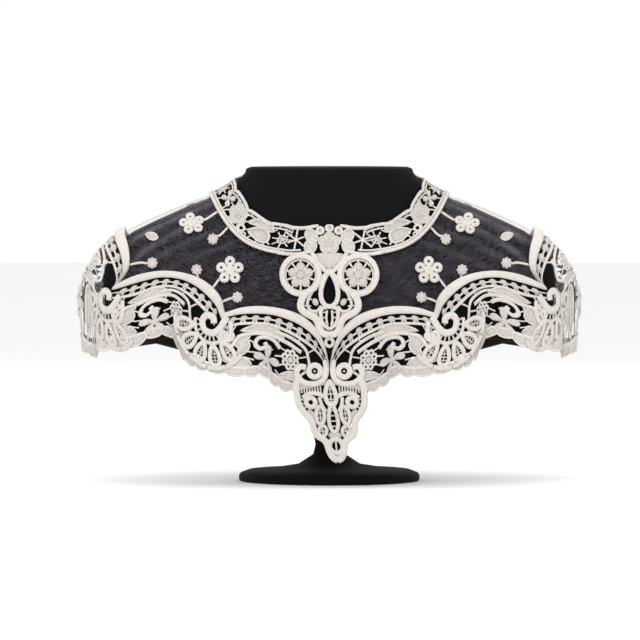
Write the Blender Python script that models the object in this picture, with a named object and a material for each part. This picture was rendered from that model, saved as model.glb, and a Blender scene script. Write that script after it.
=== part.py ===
"""A lace collar resting on a small black display bust, built as closed solids.

The collar is a net yoke with a needle-lace neckband, a centre motif, a scalloped border with a
pointed tip, and applied flowers, dots and stems. Front is -Y, the floor is z = 0. Sizes in the
tables are millimetres, and every mesh is in metres.

A place on the cloth is a pair (turn, down). Turn is the angle round the neck in degrees: 0 at the
centre front, 90 at the collar's +X shoulder, 180 at the centre back. Down counts the rows of
BODY_ROWS from the neckline.
"""
import math

import bmesh
import bpy
import numpy as np
from mathutils import Vector
from mathutils.geometry import delaunay_2d_cdt

MM = 0.001

# The body that the cloth follows, one row for each line round it, from the neckline down. A line
# rises from the front to the side, and a higher rise_power keeps its front flat for longer.
BODY_COLUMNS = (
    "side", "front", "back", "front_height", "side_height", "back_height", "bust_side", "rise_power",
)
BODY_ROWS = (
    (80.0, 62.0, 60.0, 221.0, 258.0, 266.0, 80.0, 5.0),
    (97.0, 69.0, 71.0, 205.0, 248.0, 255.0, 97.0, 5.6),
    (140.0, 92.0, 96.0, 170.0, 230.0, 222.0, 140.0, 3.0),
    (185.0, 105.0, 108.0, 130.0, 209.0, 186.0, 180.0, 2.0),
    (206.0, 111.0, 113.0, 90.0, 184.0, 149.0, 194.0, 2.0),
    (211.5, 113.0, 114.0, 55.0, 160.0, 114.0, 195.0, 2.0),
    (208.0, 111.0, 112.0, 20.0, 112.0, 76.0, 190.0, 2.0),
)
LAST_ROW = len(BODY_ROWS) - 1
CENTRE_Y = -0.48

# Soft folds where the cloth hangs free beyond the shoulder end: where, how far out, how wide.
FOLD_COLUMNS = ("turn", "out", "width")
FOLDS = ((63.0, 3.0, 6.0), (76.0, -4.0, 6.0), (90.0, 3.0, 7.0), (104.0, -4.0, 6.0), (117.0, 3.0, 6.0))
FOLD_START, FOLD_FULL = 3.6, 5.4

# Layers over the bust: each cloth wall has a lift, from the body, and a thickness.
BUST_GAP = 0.8
NET_LAYER = (0.0, 1.0)
LACE_LAYER = (2.0, 2.0)
APPLIED_LAYER = (1.8, 1.8)
SEAM = 0.35

# Flat pattern sizes, used only to share triangles out evenly.
MM_PER_DEGREE, MM_PER_ROW = 2.4, 42.0
SLIVER = 0.02

# The border's scallops, seen from the front: x and height of the rope's outer edge and of the hem.
INNER_ROPE = (
    (0.3, 104.0), (3.4, 118.5), (10.2, 133.2), (22.0, 144.2), (38.0, 150.2), (56.0, 152.6),
    (73.0, 151.6), (88.0, 147.2),
)
INNER_HEM = (
    (0.3, 88.6), (12.0, 87.7), (24.0, 85.0), (36.0, 84.2), (47.0, 90.0), (56.0, 97.5), (68.0, 96.5),
    (86.0, 97.5), (104.0, 100.5),
)
OUTER_ROPE = (
    (88.0, 147.2), (91.5, 159.0), (99.5, 168.5), (111.0, 175.6), (124.5, 179.6), (138.5, 181.0),
    (152.5, 180.0), (166.0, 176.6), (178.5, 170.6),
)
OUTER_HEM = (
    (104.0, 100.5), (114.0, 104.0), (123.0, 110.5), (128.5, 121.0), (136.0, 130.0), (150.0, 128.5),
    (165.0, 121.5), (181.0, 118.5), (198.0, 118.0),
)
# The same for the scallops over the shoulder and on the back, as turn and down.
SHOULDER_ROPE = (
    (61.7, 3.28), (67.8, 2.97), (78.5, 2.8), (90.0, 2.72), (101.5, 2.8), (112.2, 2.97), (118.3, 3.28),
)
SHOULDER_HEM = ((78.0, 5.95), (90.0, 5.9), (102.0, 5.95))
BACK_ROPE = ((158.0, 2.75), (166.0, 2.62), (174.0, 2.75), (179.85, 3.05))
BACK_HEM = ((158.0, 4.55), (166.0, 4.35), (173.0, 4.5), (179.85, 4.4))
BACK_EDGE = 179.85

ROPE_STEPS = 12
HEM_LOBES = 9
LOBE_DEPTH = 3.0
# Points of one lobe: the share along it, and the share of its depth.
LOBE_POINTS = ((0.0, 0.0), (0.3, 0.85), (0.7, 0.85))

# Gaps of one scallop: along it from 0 to 1, and across it from the rope's edge to the hem.
GAP_COLUMNS = ("from_along", "to_along", "from_across", "to_across")
LADDER_COUNT, LADDER_FROM, LADDER_TO, LADDER_BAR = 7, 0.13, 0.87, 0.022
LADDER_ACROSS = (0.17, 0.27)
OPEN_GAPS = (
    (0.17, 0.33, 0.37, 0.45),
    (0.42, 0.58, 0.35, 0.43),
    (0.67, 0.83, 0.37, 0.45),
    (0.16, 0.28, 0.55, 0.68),
    (0.33, 0.41, 0.54, 0.69),
    (0.59, 0.67, 0.54, 0.69),
    (0.72, 0.84, 0.55, 0.68),
    (0.21, 0.29, 0.79, 0.88),
    (0.36, 0.44, 0.80, 0.89),
    (0.56, 0.64, 0.80, 0.89),
    (0.71, 0.79, 0.79, 0.88),
    (0.04, 0.09, 0.36, 0.52),
    (0.05, 0.11, 0.62, 0.80),
    (0.91, 0.96, 0.36, 0.52),
    (0.89, 0.95, 0.62, 0.80),
)

# Neckband: its width at the centre front, the shoulder and the centre back.
BAND_WIDTHS = {"front": 32.0, "side": 26.0, "back": 25.0}
BAND_STEPS = 22
BAND_UNDERLAP = 6.0
# Where a half begins, as turns at its upper and lower edge, and where it meets the centre motif.
BAND_START = (22.8, 21.5)
BAND_END_ANGLES, BAND_END_STEPS = (63.0, 36.0), 3
# Gaps: how many, turns kept whole at both ends, half a bar in degrees, and their shares of the width.
BAND_GAPS = 14
BAND_MARGINS = (5.0, 3.0)
BAND_BAR = 1.6
BAND_GAP_ROWS = ((0.16, 0.40), (0.56, 0.80))

# The net runs under the neckband and under the rope, with a seam a little behind the shoulder line.
NET_UNDERLAP = 4.5
SHOULDER_SEAM_TURN, SHOULDER_SEAM_SHARE = 96.0, 0.52
SEAM_MM_PER_DEGREE = 1.9

# How far apart the points inside each kind of wall are.
BORDER_SPACING, NET_SPACING, MOTIF_SPACING, BAND_SPACING, APPLIED_SPACING = 15.0, 12.0, 30.0, 30.0, 60.0

# Centre motif and tip, each the outline of round shapes: x, height and radius.
MOTIF_CENTRE = (0.0, 165.0)
MOTIF_ROUNDS = (
    (0.0, 205.0, 17.0), (18.0, 207.0, 13.5), (24.6, 178.5, 18.7),
    (0.0, 160.0, 16.0), (17.6, 154.8, 9.2), (7.0, 142.2, 6.9), (0.0, 138.0, 10.2), (0.0, 128.0, 4.4),
    (0.0, 122.8, 4.2),
)
PETAL_CENTRE = (24.6, 178.5)
PETAL_GAPS = 5
PETAL_GAP_RADII = (7.5, 12.5)
PETAL_GAP_START, PETAL_GAP_BAR, PETAL_GAP_TAPER = 0.25, 0.22, 0.8
DROP_HOLE = ((0.0, 176.5), (4.0, 169.0), (6.3, 162.0), (4.6, 156.5), (0.0, 154.5))
SMALL_HOLES = ((5.0, 146.0, 2.3), (10.4, 152.5, 2.1), (9.0, 196.0, 2.3))
TIP_CENTRE = (0.0, 58.0)
TIP_ROUNDS = (
    (0.0, 75.0, 10.8), (0.0, 62.5, 22.0), (10.0, 67.0, 17.0), (18.5, 70.5, 11.8), (7.0, 50.0, 12.5),
    (0.0, 33.0, 8.6), (0.0, 27.0, 5.5),
)
TIP_HOLES = ((17.5, 72.7, 2.1), (10.4, 61.5, 2.2), (9.7, 49.2, 2.0), (0.0, 78.0, 2.8), (0.0, 36.3, 3.6))
# The tip hangs a little towards +X: how far for each millimetre below this height.
TIP_LEAN, LEAN_FROM = 0.11, 88.0
ROUND_STEPS = 40

# Applied motifs seen from the front: x, height, radius, petals, and where a stem ends. A motif on
# the back lies behind its twin on the front.
APPLIED_COLUMNS = ("name", "x", "height", "radius", "petals", "stem_x", "stem_height")
APPLIED = (
    ("yoke_flower", 84.7, 182.5, 12.0, 5, 96.6, 170.6),
    ("shoulder_flower", 117.6, 221.5, 10.8, 5, 101.5, 228.5),
    ("lower_dot", 78.1, 160.4, 4.7, 0, 88.0, 157.6),
    ("rope_dot", 113.0, 183.4, 4.7, 0, None, None),
    ("upper_dot", 99.7, 208.4, 4.7, 0, 92.6, 213.6),
    ("side_dot", 151.0, 188.4, 4.7, 0, 163.0, 187.4),
    ("side_leaf", 152.0, 211.0, 5.5, 2, None, None),
)
STEM_HALF = 1.0
PETAL_DEPTH = 0.34
# Motifs on the slope of the shoulder look lower than they are wide.
SLOPED_HEIGHT = 0.78
SLOPED = ("shoulder_flower", "side_leaf")

# Two buttons on the +X side of the centre back: down from the neckline, radius, height.
BUTTONS = (("upper", 6.0), ("lower", 21.0))
BUTTON_RADIUS, BUTTON_HEIGHT, BUTTON_OFFSET = 3.6, 3.0, 6.5

# The bust ends a little above the hem, and behind the tip it reaches down in a point: turn and down.
EDGE_ABOVE_HEM = 0.12
TIP_EDGE = (
    (-7.6, 4.36), (-5.6, 4.77), (-3.6, 5.08), (-1.0, 5.3), (1.5, 5.42), (3.6, 5.33), (5.9, 5.1),
    (7.2, 4.77), (8.3, 4.38),
)
BUST_TURNS = 96
BUST_ROWS = 13
NECK_TOP = 271.0
# Rings at the top of the neck stub: how far in from the neckline, and how far down from the top.
NECK_RINGS = ((12.0, 0.0), (8.0, 1.5), (7.0, 5.0))
# Rings of the underside: first shares of the edge and a rise, then radii and heights.
UNDER_EDGE_RINGS = ((0.96, -2.5), (0.80, 2.0))
UNDER_ROUND_RINGS = ((50.0, 92.0), (30.0, 78.0), (23.0, 62.0))
# The foot's profile, as radii and heights, from under the bust to the floor.
FOOT_PROFILE = (
    (23.0, 61.65), (18.0, 50.0), (13.5, 40.0), (12.0, 31.0), (14.0, 23.0), (27.0, 14.5), (48.0, 11.0),
    (70.0, 9.5), (76.5, 7.0), (78.0, 5.0), (78.0, 1.0), (77.0, 0.0),
)
FOOT_SIDES = 40

IVORY = (0.78, 0.70, 0.60)
NET_CREAM = (0.72, 0.66, 0.58)
BLACK = (0.012, 0.011, 0.014)


def finish(name, colour, roughness):
    """A plain painted finish, shared by the pieces made of one stuff."""
    material = bpy.data.materials.get(name) or bpy.data.materials.new(name)
    material.use_nodes = True
    shader = material.node_tree.nodes["Principled BSDF"]
    shader.inputs["Base Color"].default_value = (*colour, 1.0)
    shader.inputs["Roughness"].default_value = roughness
    shader.inputs["Metallic"].default_value = 0.0
    return material


def named(columns, rows):
    """The rows of a short table, each with its values under their column names."""
    return [dict(zip(columns, row)) for row in rows]


def on_curve(rows, place):
    """Read a table at a place between its rows, on a smooth curve through them all."""
    last = len(rows) - 1
    place = min(max(place, 0.0), float(last))
    first = min(int(place), last - 1)
    part = place - first
    start, end = np.array(rows[first], float), np.array(rows[first + 1], float)
    before = np.array(rows[first - 1], float) if first > 0 else 2.0 * start - end
    after = np.array(rows[first + 2], float) if first + 2 <= last else 2.0 * end - start
    straight = end - before
    bend = 2.0 * before - 5.0 * start + 4.0 * end - after
    twist = 3.0 * start - before - 3.0 * end + after
    return 0.5 * (2.0 * start + straight * part + bend * part**2 + twist * part**3)


def fold_push(turn, down):
    """How far a soft fold pushes the free-hanging cloth out, at a place."""
    part = min(max((down - FOLD_START) / (FOLD_FULL - FOLD_START), 0.0), 1.0)
    fullness = part * part * (3.0 - 2.0 * part)
    push = 0.0
    for fold in named(FOLD_COLUMNS, FOLDS):
        push += fold["out"] * math.exp(-(((abs(turn) - fold["turn"]) / fold["width"]) ** 2))
    return fullness * push


def bare_point(turn, down, for_bust=False):
    """A point of the body itself, in millimetres."""
    row = dict(zip(BODY_COLUMNS, on_curve(BODY_ROWS, down)))
    angle = math.radians(turn)
    towards_front = math.cos(angle)
    end = "front" if towards_front >= 0.0 else "back"
    side = row["bust_side"] if for_bust else row["side"] + fold_push(turn, down)
    share = 1.0 - abs(math.sin(angle)) ** row["rise_power"]
    height = row["side_height"] + (row[end + "_height"] - row["side_height"]) * share
    return np.array((side * math.sin(angle), CENTRE_Y - row[end] * towards_front, height))


def body_point(place, lift, for_bust=False):
    """A point at a lift above the body, square to its surface, in metres."""
    turn, down = place
    here = bare_point(turn, down, for_bust)
    around = bare_point(turn + 0.5, down, for_bust) - bare_point(turn - 0.5, down, for_bust)
    low, high = max(down - 0.02, 0.0), min(down + 0.02, LAST_ROW)
    along = bare_point(turn, high, for_bust) - bare_point(turn, low, for_bust)
    outward = np.cross(along, around)
    outward /= np.linalg.norm(outward)
    return Vector((here + outward * lift) * MM)


def seen_from_front(x, height):
    """The place on the front of the cloth that is seen at this x and height."""
    steps = 600
    before = None
    for step in range(steps + 1):
        down = LAST_ROW * step / steps
        row = dict(zip(BODY_COLUMNS, on_curve(BODY_ROWS, down)))
        if abs(x) >= row["side"]:
            continue
        turn = math.degrees(math.asin(x / row["side"]))
        now = bare_point(turn, down)[2]
        if now <= height:
            if before is None:
                return turn, down
            part = (before[2] - height) / max(before[2] - now, 1e-9)
            return before[0] + (turn - before[0]) * part, before[1] + (down - before[1]) * part
        before = (turn, down, now)
    return before[0], before[1]


def place_at(turn, length):
    """The place that lies this many millimetres down from the neckline, along the cloth."""
    steps = 240
    walked, last = 0.0, bare_point(turn, 0.0)
    for step in range(1, steps + 1):
        down = LAST_ROW * step / steps
        here = bare_point(turn, down)
        stretch = float(np.linalg.norm(here - last))
        if walked + stretch >= length:
            return turn, down - LAST_ROW / steps * (1.0 - (length - walked) / stretch)
        walked, last = walked + stretch, here
    return turn, float(LAST_ROW)


def near(centre, across, downward):
    """The place that lies some millimetres across and down from another place."""
    turn, down = centre
    around = float(np.linalg.norm(bare_point(turn + 0.5, down) - bare_point(turn - 0.5, down)))
    along = float(np.linalg.norm(bare_point(turn, down + 0.05) - bare_point(turn, down - 0.05))) / 0.1
    return turn + across / around, down + downward / along


def mirrored(places):
    """The same places on the other half of the collar, in turning order."""
    return [(-turn, down) for turn, down in reversed(places)]


def flat(place):
    return Vector((place[0] * MM_PER_DEGREE, place[1] * MM_PER_ROW))


def inside(point, loop):
    """Whether a flat point lies within a closed loop of flat points."""
    answer = False
    for first, second in zip(loop, loop[1:] + loop[:1]):
        if (first.y > point.y) != (second.y > point.y):
            cross = first.x + (point.y - first.y) * (second.x - first.x) / (second.y - first.y)
            if point.x < cross:
                answer = not answer
    return answer


def clear_of(point, loops, distance):
    return all((point - other).length > distance for loop in loops for other in loop)


def evenly_split(loop, longest):
    """A closed loop of flat points whose long edges have points between their ends."""
    points = []
    for first, second in zip(loop, loop[1:] + loop[:1]):
        parts = max(1, math.ceil((second - first).length / longest))
        points += [first.lerp(second, step / parts) for step in range(parts)]
    return points


def add_object(name, mesh_data, material):
    """Make a named object from a bmesh, shaded smooth but for its sharp edges."""
    mesh = bpy.data.meshes.new(name)
    if mesh_data.calc_volume(signed=True) < 0.0:
        bmesh.ops.reverse_faces(mesh_data, faces=mesh_data.faces[:])
    mesh_data.to_mesh(mesh)
    mesh_data.free()
    mesh.shade_smooth()
    mesh.set_sharp_from_angle(angle=math.radians(40.0))
    mesh.materials.append(material)
    piece = bpy.data.objects.new(name, mesh)
    bpy.context.collection.objects.link(piece)
    return piece


def cloth_wall(name, outline, gaps, layer, spacing, material):
    """A wall of cloth over the body, with an outline and gaps given as loops of places."""
    border = evenly_split([flat(place) for place in outline], 1.1 * spacing)
    holes = [[flat(place) for place in gap] for gap in gaps]
    points, edges = [], []
    for loop in [border] + holes:
        start, count = len(points), len(loop)
        points += loop
        edges += [(start + step, start + (step + 1) % count) for step in range(count)]
    columns = [point.x for point in border]
    lines = [point.y for point in border]
    for row in range(int((max(lines) - min(lines)) / spacing) + 1):
        for column in range(int((max(columns) - min(columns)) / spacing) + 1):
            point = Vector((min(columns) + (column + 0.5) * spacing, min(lines) + (row + 0.5) * spacing))
            if inside(point, border) and not any(inside(point, hole) for hole in holes):
                if clear_of(point, [border] + holes, 0.6 * spacing):
                    points.append(point)
    found, _, triangles, _, _, _ = delaunay_2d_cdt(points, edges, [], 0, 1e-5)
    kept = []
    for corners in triangles:
        first, second, third = (found[corner] for corner in corners)
        middle = (first + second + third) / 3.0
        if abs((second - first).cross(third - first)) < SLIVER:
            continue
        if inside(middle, border) and not any(inside(middle, hole) for hole in holes):
            kept.append(corners)
    used = sorted({corner for corners in kept for corner in corners})
    mesh_data = bmesh.new()
    skins = []
    for height in (layer[0], sum(layer)):
        skin = {}
        for corner in used:
            place = (found[corner].x / MM_PER_DEGREE, found[corner].y / MM_PER_ROW)
            skin[corner] = mesh_data.verts.new(body_point(place, height))
        skins.append(skin)
    inner, outer = skins
    sides = {}
    for corners in kept:
        mesh_data.faces.new([outer[corner] for corner in reversed(corners)])
        mesh_data.faces.new([inner[corner] for corner in corners])
        for first, second in zip(corners, corners[1:] + corners[:1]):
            sides[(first, second)] = (second, first) in sides or sides.get((first, second), False)
    for first, second in sides:
        if (second, first) not in sides:
            mesh_data.faces.new((inner[second], inner[first], outer[first], outer[second]))
    return add_object(name, mesh_data, material)


def mirror_piece(piece, name):
    """The same piece cut again for the other half of the collar."""
    mesh_data = bmesh.new()
    mesh_data.from_mesh(piece.data)
    bmesh.ops.scale(mesh_data, vec=(-1.0, 1.0, 1.0), verts=mesh_data.verts[:])
    bmesh.ops.reverse_faces(mesh_data, faces=mesh_data.faces[:])
    return add_object(name, mesh_data, piece.data.materials[0])


def scallop_place(unit, along, across):
    """The place at a share along a scallop and a share across it."""
    rope = on_curve(unit["rope"], along * (len(unit["rope"]) - 1))
    hem = on_curve(unit["hem"], along * (len(unit["hem"]) - 1))
    place = rope + (hem - rope) * across
    return float(place[0]), float(place[1])


def make_scallops():
    """The five scallops of the +X half, from the centre front round to the centre back."""
    front = [[seen_from_front(*point) for point in line] for line in (INNER_ROPE, INNER_HEM)]
    outer = [[seen_from_front(*point) for point in line] for line in (OUTER_ROPE, OUTER_HEM)]
    behind = [[(180.0 - turn, down) for turn, down in reversed(line)] for line in outer]
    shoulder = (
        [outer[0][-1], *SHOULDER_ROPE, behind[0][0]],
        [outer[1][-1], *SHOULDER_HEM, behind[1][0]],
    )
    back = [behind[0][-1], *BACK_ROPE], [behind[1][-1], *BACK_HEM]
    return [{"rope": rope, "hem": hem} for rope, hem in (front, outer, shoulder, behind, back)]


def hem_line(unit):
    """The hem of one scallop, with its small round lobes."""
    places = []
    for lobe in range(HEM_LOBES):
        for part, depth in LOBE_POINTS:
            turn, down = scallop_place(unit, (lobe + part) / HEM_LOBES, 1.0)
            places.append((turn, down + depth * LOBE_DEPTH / MM_PER_ROW))
    places.append(scallop_place(unit, 1.0, 1.0))
    return places


def scallop_gaps(unit):
    """The gaps of one scallop: the ladder under the rope, then the larger openings."""
    pitch = (LADDER_TO - LADDER_FROM) / LADDER_COUNT
    cells = list(OPEN_GAPS)
    for step in range(LADDER_COUNT):
        start = LADDER_FROM + step * pitch
        cells.append((start + LADDER_BAR / 2, start + pitch - LADDER_BAR / 2, *LADDER_ACROSS))
    loops = []
    for gap in named(GAP_COLUMNS, cells):
        corners = []
        for along, across in (("from", "from"), ("to", "from"), ("to", "to"), ("from", "to")):
            corners.append(scallop_place(unit, gap[along + "_along"], gap[across + "_across"]))
        loops.append(corners)
    return loops


def border_length(units):
    """The outline and gaps of a length of border, a little short at both of its seams."""
    outline = []
    for unit in units:
        outline += [scallop_place(unit, step / ROPE_STEPS, 0.0) for step in range(ROPE_STEPS)]
    outline.append(scallop_place(units[-1], 1.0, 0.0))
    hem = []
    for unit in units:
        hem += hem_line(unit)[:-1]
    hem.append(hem_line(units[-1])[-1])
    outline += reversed(hem)
    half = SEAM / 2.0
    count = len(units) * ROPE_STEPS
    for index, way in ((0, half), (len(outline) - 1, half), (count, -half), (count + 1, -half)):
        outline[index] = near(outline[index], way, 0.0)
    gaps = [gap for unit in units for gap in scallop_gaps(unit)]
    return outline, gaps


def reach_of_rounds(rounds, centre, angle):
    """How far a ray from the centre goes before it leaves the last of some round shapes."""
    way = (math.cos(angle), math.sin(angle))
    best = 0.0
    for x, height, radius in rounds:
        for sign in (1.0, -1.0):
            offset = (sign * x - centre[0], height - centre[1])
            nearest = offset[0] * way[0] + offset[1] * way[1]
            apart = offset[0] ** 2 + offset[1] ** 2 - nearest**2
            if apart < radius**2:
                best = max(best, nearest + math.sqrt(radius**2 - apart))
    return best


def leaning(height):
    """How far to +X the tip hangs at a height."""
    return TIP_LEAN * max(LEAN_FROM - height, 0.0)


def round_outline(rounds, centre, first, last, steps, grow=0.0, leans=False):
    """Places along the joint outline of some round shapes, between two angles in degrees."""
    places = []
    for step in range(steps + 1):
        angle = math.radians(first + (last - first) * step / steps)
        reach = reach_of_rounds(rounds, centre, angle) + grow
        x, height = centre[0] + reach * math.cos(angle), centre[1] + reach * math.sin(angle)
        places.append(seen_from_front(x + leaning(height) if leans else x, height))
    return places


def round_gap(x, height, radius, corners=6):
    """A small round gap, seen from the front."""
    places = []
    for step in range(corners):
        angle = 2.0 * math.pi * step / corners
        places.append(seen_from_front(x + radius * math.cos(angle), height + radius * math.sin(angle)))
    return places


def both_sides(loops):
    return loops + [mirrored(loop) for loop in loops]


def centre_motif(material):
    """The rose, ring petals and pear drop at the centre front, with the gaps between them."""
    gaps = []
    inner, outer = PETAL_GAP_RADII
    for step in range(PETAL_GAPS):
        middle = 2.0 * math.pi * (step + PETAL_GAP_START) / PETAL_GAPS
        half = math.pi / PETAL_GAPS - PETAL_GAP_BAR
        near_half = half * PETAL_GAP_TAPER
        corners = ((inner, -near_half), (outer, -half), (outer, 0.0), (outer, half), (inner, near_half))
        gaps.append([
            seen_from_front(
                PETAL_CENTRE[0] + radius * math.cos(middle + angle),
                PETAL_CENTRE[1] + radius * math.sin(middle + angle),
            )
            for radius, angle in corners
        ])
    gaps += [round_gap(*hole) for hole in SMALL_HOLES]
    right = [seen_from_front(*point) for point in DROP_HOLE]
    drop = right + [(-turn, down) for turn, down in reversed(right[1:-1])]
    outline = round_outline(MOTIF_ROUNDS, MOTIF_CENTRE, 0.0, 360.0, ROUND_STEPS)[:-1]
    cloth_wall("centre_motif", outline, both_sides(gaps) + [drop], LACE_LAYER, MOTIF_SPACING, material)


def tip(material):
    """The pointed drop at the centre front, below the border."""
    outline = round_outline(TIP_ROUNDS, TIP_CENTRE, 0.0, 360.0, ROUND_STEPS, leans=True)[:-1]
    gaps = []
    for x, height, radius in TIP_HOLES:
        for side in sorted({x, -x}):
            gaps.append(round_gap(side + leaning(height), height, radius))
    cloth_wall("tip_drop", outline, gaps, LACE_LAYER, MOTIF_SPACING, material)


def band_width(turn):
    """The neckband's width at an angle round the neck."""
    share = math.cos(math.radians(turn))
    end = BAND_WIDTHS["front"] if share > 0.0 else BAND_WIDTHS["back"]
    return BAND_WIDTHS["side"] + (end - BAND_WIDTHS["side"]) * share**2


def neckband(material):
    """The neckband's two halves, each from the centre motif's outline to the centre back."""
    top_turn, low_turn = BAND_START
    turns = [step / BAND_STEPS for step in range(BAND_STEPS + 1)]
    top = [(top_turn + (BACK_EDGE - top_turn) * part, 0.0) for part in turns]
    low = [low_turn + (BACK_EDGE - low_turn) * part for part in turns]
    bottom = [place_at(turn, band_width(turn)) for turn in low]
    end = round_outline(MOTIF_ROUNDS, MOTIF_CENTRE, *BAND_END_ANGLES, BAND_END_STEPS, grow=1.5 * SEAM)
    outline = top + list(reversed(bottom[1:])) + list(reversed(end))
    gaps = []
    first = low_turn + BAND_MARGINS[0]
    pitch = (BACK_EDGE - BAND_MARGINS[1] - first) / BAND_GAPS
    for step in range(BAND_GAPS):
        start, stop = first + step * pitch + BAND_BAR, first + (step + 1) * pitch - BAND_BAR
        upper, lower = BAND_GAP_ROWS[step % 2]
        corners = ((start, upper), (stop, upper), (stop, lower), (start, lower))
        gaps.append([place_at(turn, band_width(turn) * share) for turn, share in corners])
    piece = cloth_wall("neckband_right", outline, gaps, LACE_LAYER, BAND_SPACING, material)
    mirror_piece(piece, "neckband_left")


def net_edges(units, first, last, steps):
    """The net's upper and lower edges between two turns: under the neckband and under the rope."""
    upper = []
    for step in range(steps + 1):
        turn = first + (last - first) * step / steps
        upper.append(place_at(turn, band_width(turn) - BAND_UNDERLAP))
    lower = []
    for unit in units:
        for step in range(ROPE_STEPS + 1):
            place = scallop_place(unit, step / ROPE_STEPS, 0.0)
            if first < place[0] < last:
                lower.append((place[0], place[1] + NET_UNDERLAP / MM_PER_ROW))
    return upper, lower


def net_panels(units, material):
    """The front net panel and the two back ones, which meet at the shoulder seams."""
    under_rope = NET_UNDERLAP / MM_PER_ROW
    upper, lower = net_edges(units, 0.0, SHOULDER_SEAM_TURN, 16)
    whole_upper = mirrored(upper[1:]) + upper
    whole_lower = mirrored(lower) + lower
    seam_down = on_curve(units[2]["rope"][4:6], SHOULDER_SEAM_SHARE)[1] + under_rope
    seam_lows = (SHOULDER_SEAM_TURN, seam_down), (-SHOULDER_SEAM_TURN, seam_down)
    outline = whole_upper + [seam_lows[0]] + list(reversed(whole_lower)) + [seam_lows[1]]
    cloth_wall("net_front", outline, [], NET_LAYER, NET_SPACING, material)
    back_turn = SHOULDER_SEAM_TURN + SEAM / SEAM_MM_PER_DEGREE
    upper, lower = net_edges(units, back_turn, BACK_EDGE, 16)
    last_low = (BACK_EDGE, units[4]["rope"][-1][1] + under_rope)
    outline = upper + [last_low] + list(reversed(lower)) + [(back_turn, seam_down)]
    piece = cloth_wall("net_back_right", outline, [], NET_LAYER, NET_SPACING, material)
    mirror_piece(piece, "net_back_left")


def applied_outline(row):
    """The outline of a flower, leaf or dot seen from the front, and of the stem that leaves it."""
    centre = row["x"], row["height"]
    radius, petals = row["radius"], row["petals"]
    tall = SLOPED_HEIGHT if row["name"] in SLOPED else 1.0
    steps = max(8, petals * 5)
    stem_angle = 0.0
    if row["stem_x"]:
        way = (row["stem_x"] - centre[0], row["stem_height"] - centre[1])
        stem_angle, length = math.atan2(way[1], way[0]), math.hypot(*way)
    points = []
    for step in range(steps):
        angle = stem_angle + 2.0 * math.pi * (step + 0.5) / steps
        wave = 0.5 + 0.5 * math.cos(petals * (angle - stem_angle))
        reach = radius * (1.0 - PETAL_DEPTH * wave) if petals else radius
        points.append((reach * math.cos(angle), tall * reach * math.sin(angle)))
    if row["stem_x"]:
        cosine, sine = math.cos(stem_angle), math.sin(stem_angle)
        for half in (-STEM_HALF, STEM_HALF):
            points.append((length * cosine - half * sine, length * sine + half * cosine))
    return [seen_from_front(centre[0] + x, centre[1] + height) for x, height in reversed(points)]


def applied_pieces(material):
    """The flowers, leaves and dots on the net, on both halves, front and back."""
    for row in named(APPLIED_COLUMNS, APPLIED):
        front = applied_outline(row)
        back = [(180.0 - turn, down) for turn, down in reversed(front)]
        for where, outline in (("front", front), ("back", back)):
            title = f"{row['name']}_{where}"
            piece = cloth_wall(title + "_right", outline, [], APPLIED_LAYER, APPLIED_SPACING, material)
            mirror_piece(piece, title + "_left")


def ring_of(mesh_data, points):
    return [mesh_data.verts.new(point) for point in points]


def join_rings(mesh_data, rings):
    """Skin a stack of rings, from the highest to the lowest, and close both ends."""
    count = len(rings[0])
    for upper, lower in zip(rings, rings[1:]):
        for step in range(count):
            after = (step + 1) % count
            mesh_data.faces.new((upper[step], lower[step], lower[after], upper[after]))
    mesh_data.faces.new(rings[0])
    mesh_data.faces.new(list(reversed(rings[-1])))


def bust_edge(turn, units):
    """Where the bust's lower edge lies, as a number of rows down."""
    first, last = TIP_EDGE[0][0], TIP_EDGE[-1][0]
    if first <= turn <= last:
        line = TIP_EDGE
    else:
        line = []
        for unit in units:
            for step in range(ROPE_STEPS + 1):
                place = scallop_place(unit, step / ROPE_STEPS, 1.0)
                if not line or place[0] > line[-1][0]:
                    line.append((place[0], place[1] - EDGE_ABOVE_HEM))
        turn = abs(turn)
    return float(np.interp(turn, [place[0] for place in line], [place[1] for place in line]))


def display_bust(units, material):
    """The smooth bust: a neck stub, shoulders and chest, and a plain underside."""
    turns = [360.0 * step / BUST_TURNS - 180.0 for step in range(BUST_TURNS)]
    rings = []
    neck = [body_point((turn, 0.0), -BUST_GAP, True) for turn in turns]
    for inset, drop in NECK_RINGS:
        ring = []
        for point in neck:
            share = 1.0 - inset * MM / math.hypot(point.x, point.y)
            ring.append((point.x * share, point.y * share, (NECK_TOP - drop) * MM))
        rings.append(ring)
    edges = [bust_edge(turn, units) for turn in turns]
    for row in range(BUST_ROWS + 1):
        part = row / BUST_ROWS
        rings.append([body_point((turn, part * edge), -BUST_GAP, True) for turn, edge in zip(turns, edges)])
    edge = rings[-1]
    for share, rise in UNDER_EDGE_RINGS:
        rings.append([(point.x * share, point.y * share, point.z + rise * MM) for point in edge])
    for radius, height in UNDER_ROUND_RINGS:
        rings.append([round_point(radius, turn, height) for turn in turns])
    mesh_data = bmesh.new()
    join_rings(mesh_data, [ring_of(mesh_data, ring) for ring in rings])
    add_object("display_bust", mesh_data, material)


def round_point(radius, turn, height):
    """A point of a turned shape about the upright axis, in metres."""
    angle = math.radians(turn)
    return (radius * MM * math.sin(angle), (CENTRE_Y - radius * math.cos(angle)) * MM, height * MM)


def display_foot(material):
    """The turned foot: a slim stem that spreads to a flat round base."""
    mesh_data = bmesh.new()
    rings = []
    for radius, height in FOOT_PROFILE:
        ring = [round_point(radius, 360.0 * step / FOOT_SIDES, height) for step in range(FOOT_SIDES)]
        rings.append(ring_of(mesh_data, ring))
    join_rings(mesh_data, rings)
    add_object("display_foot", mesh_data, material)


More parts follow.
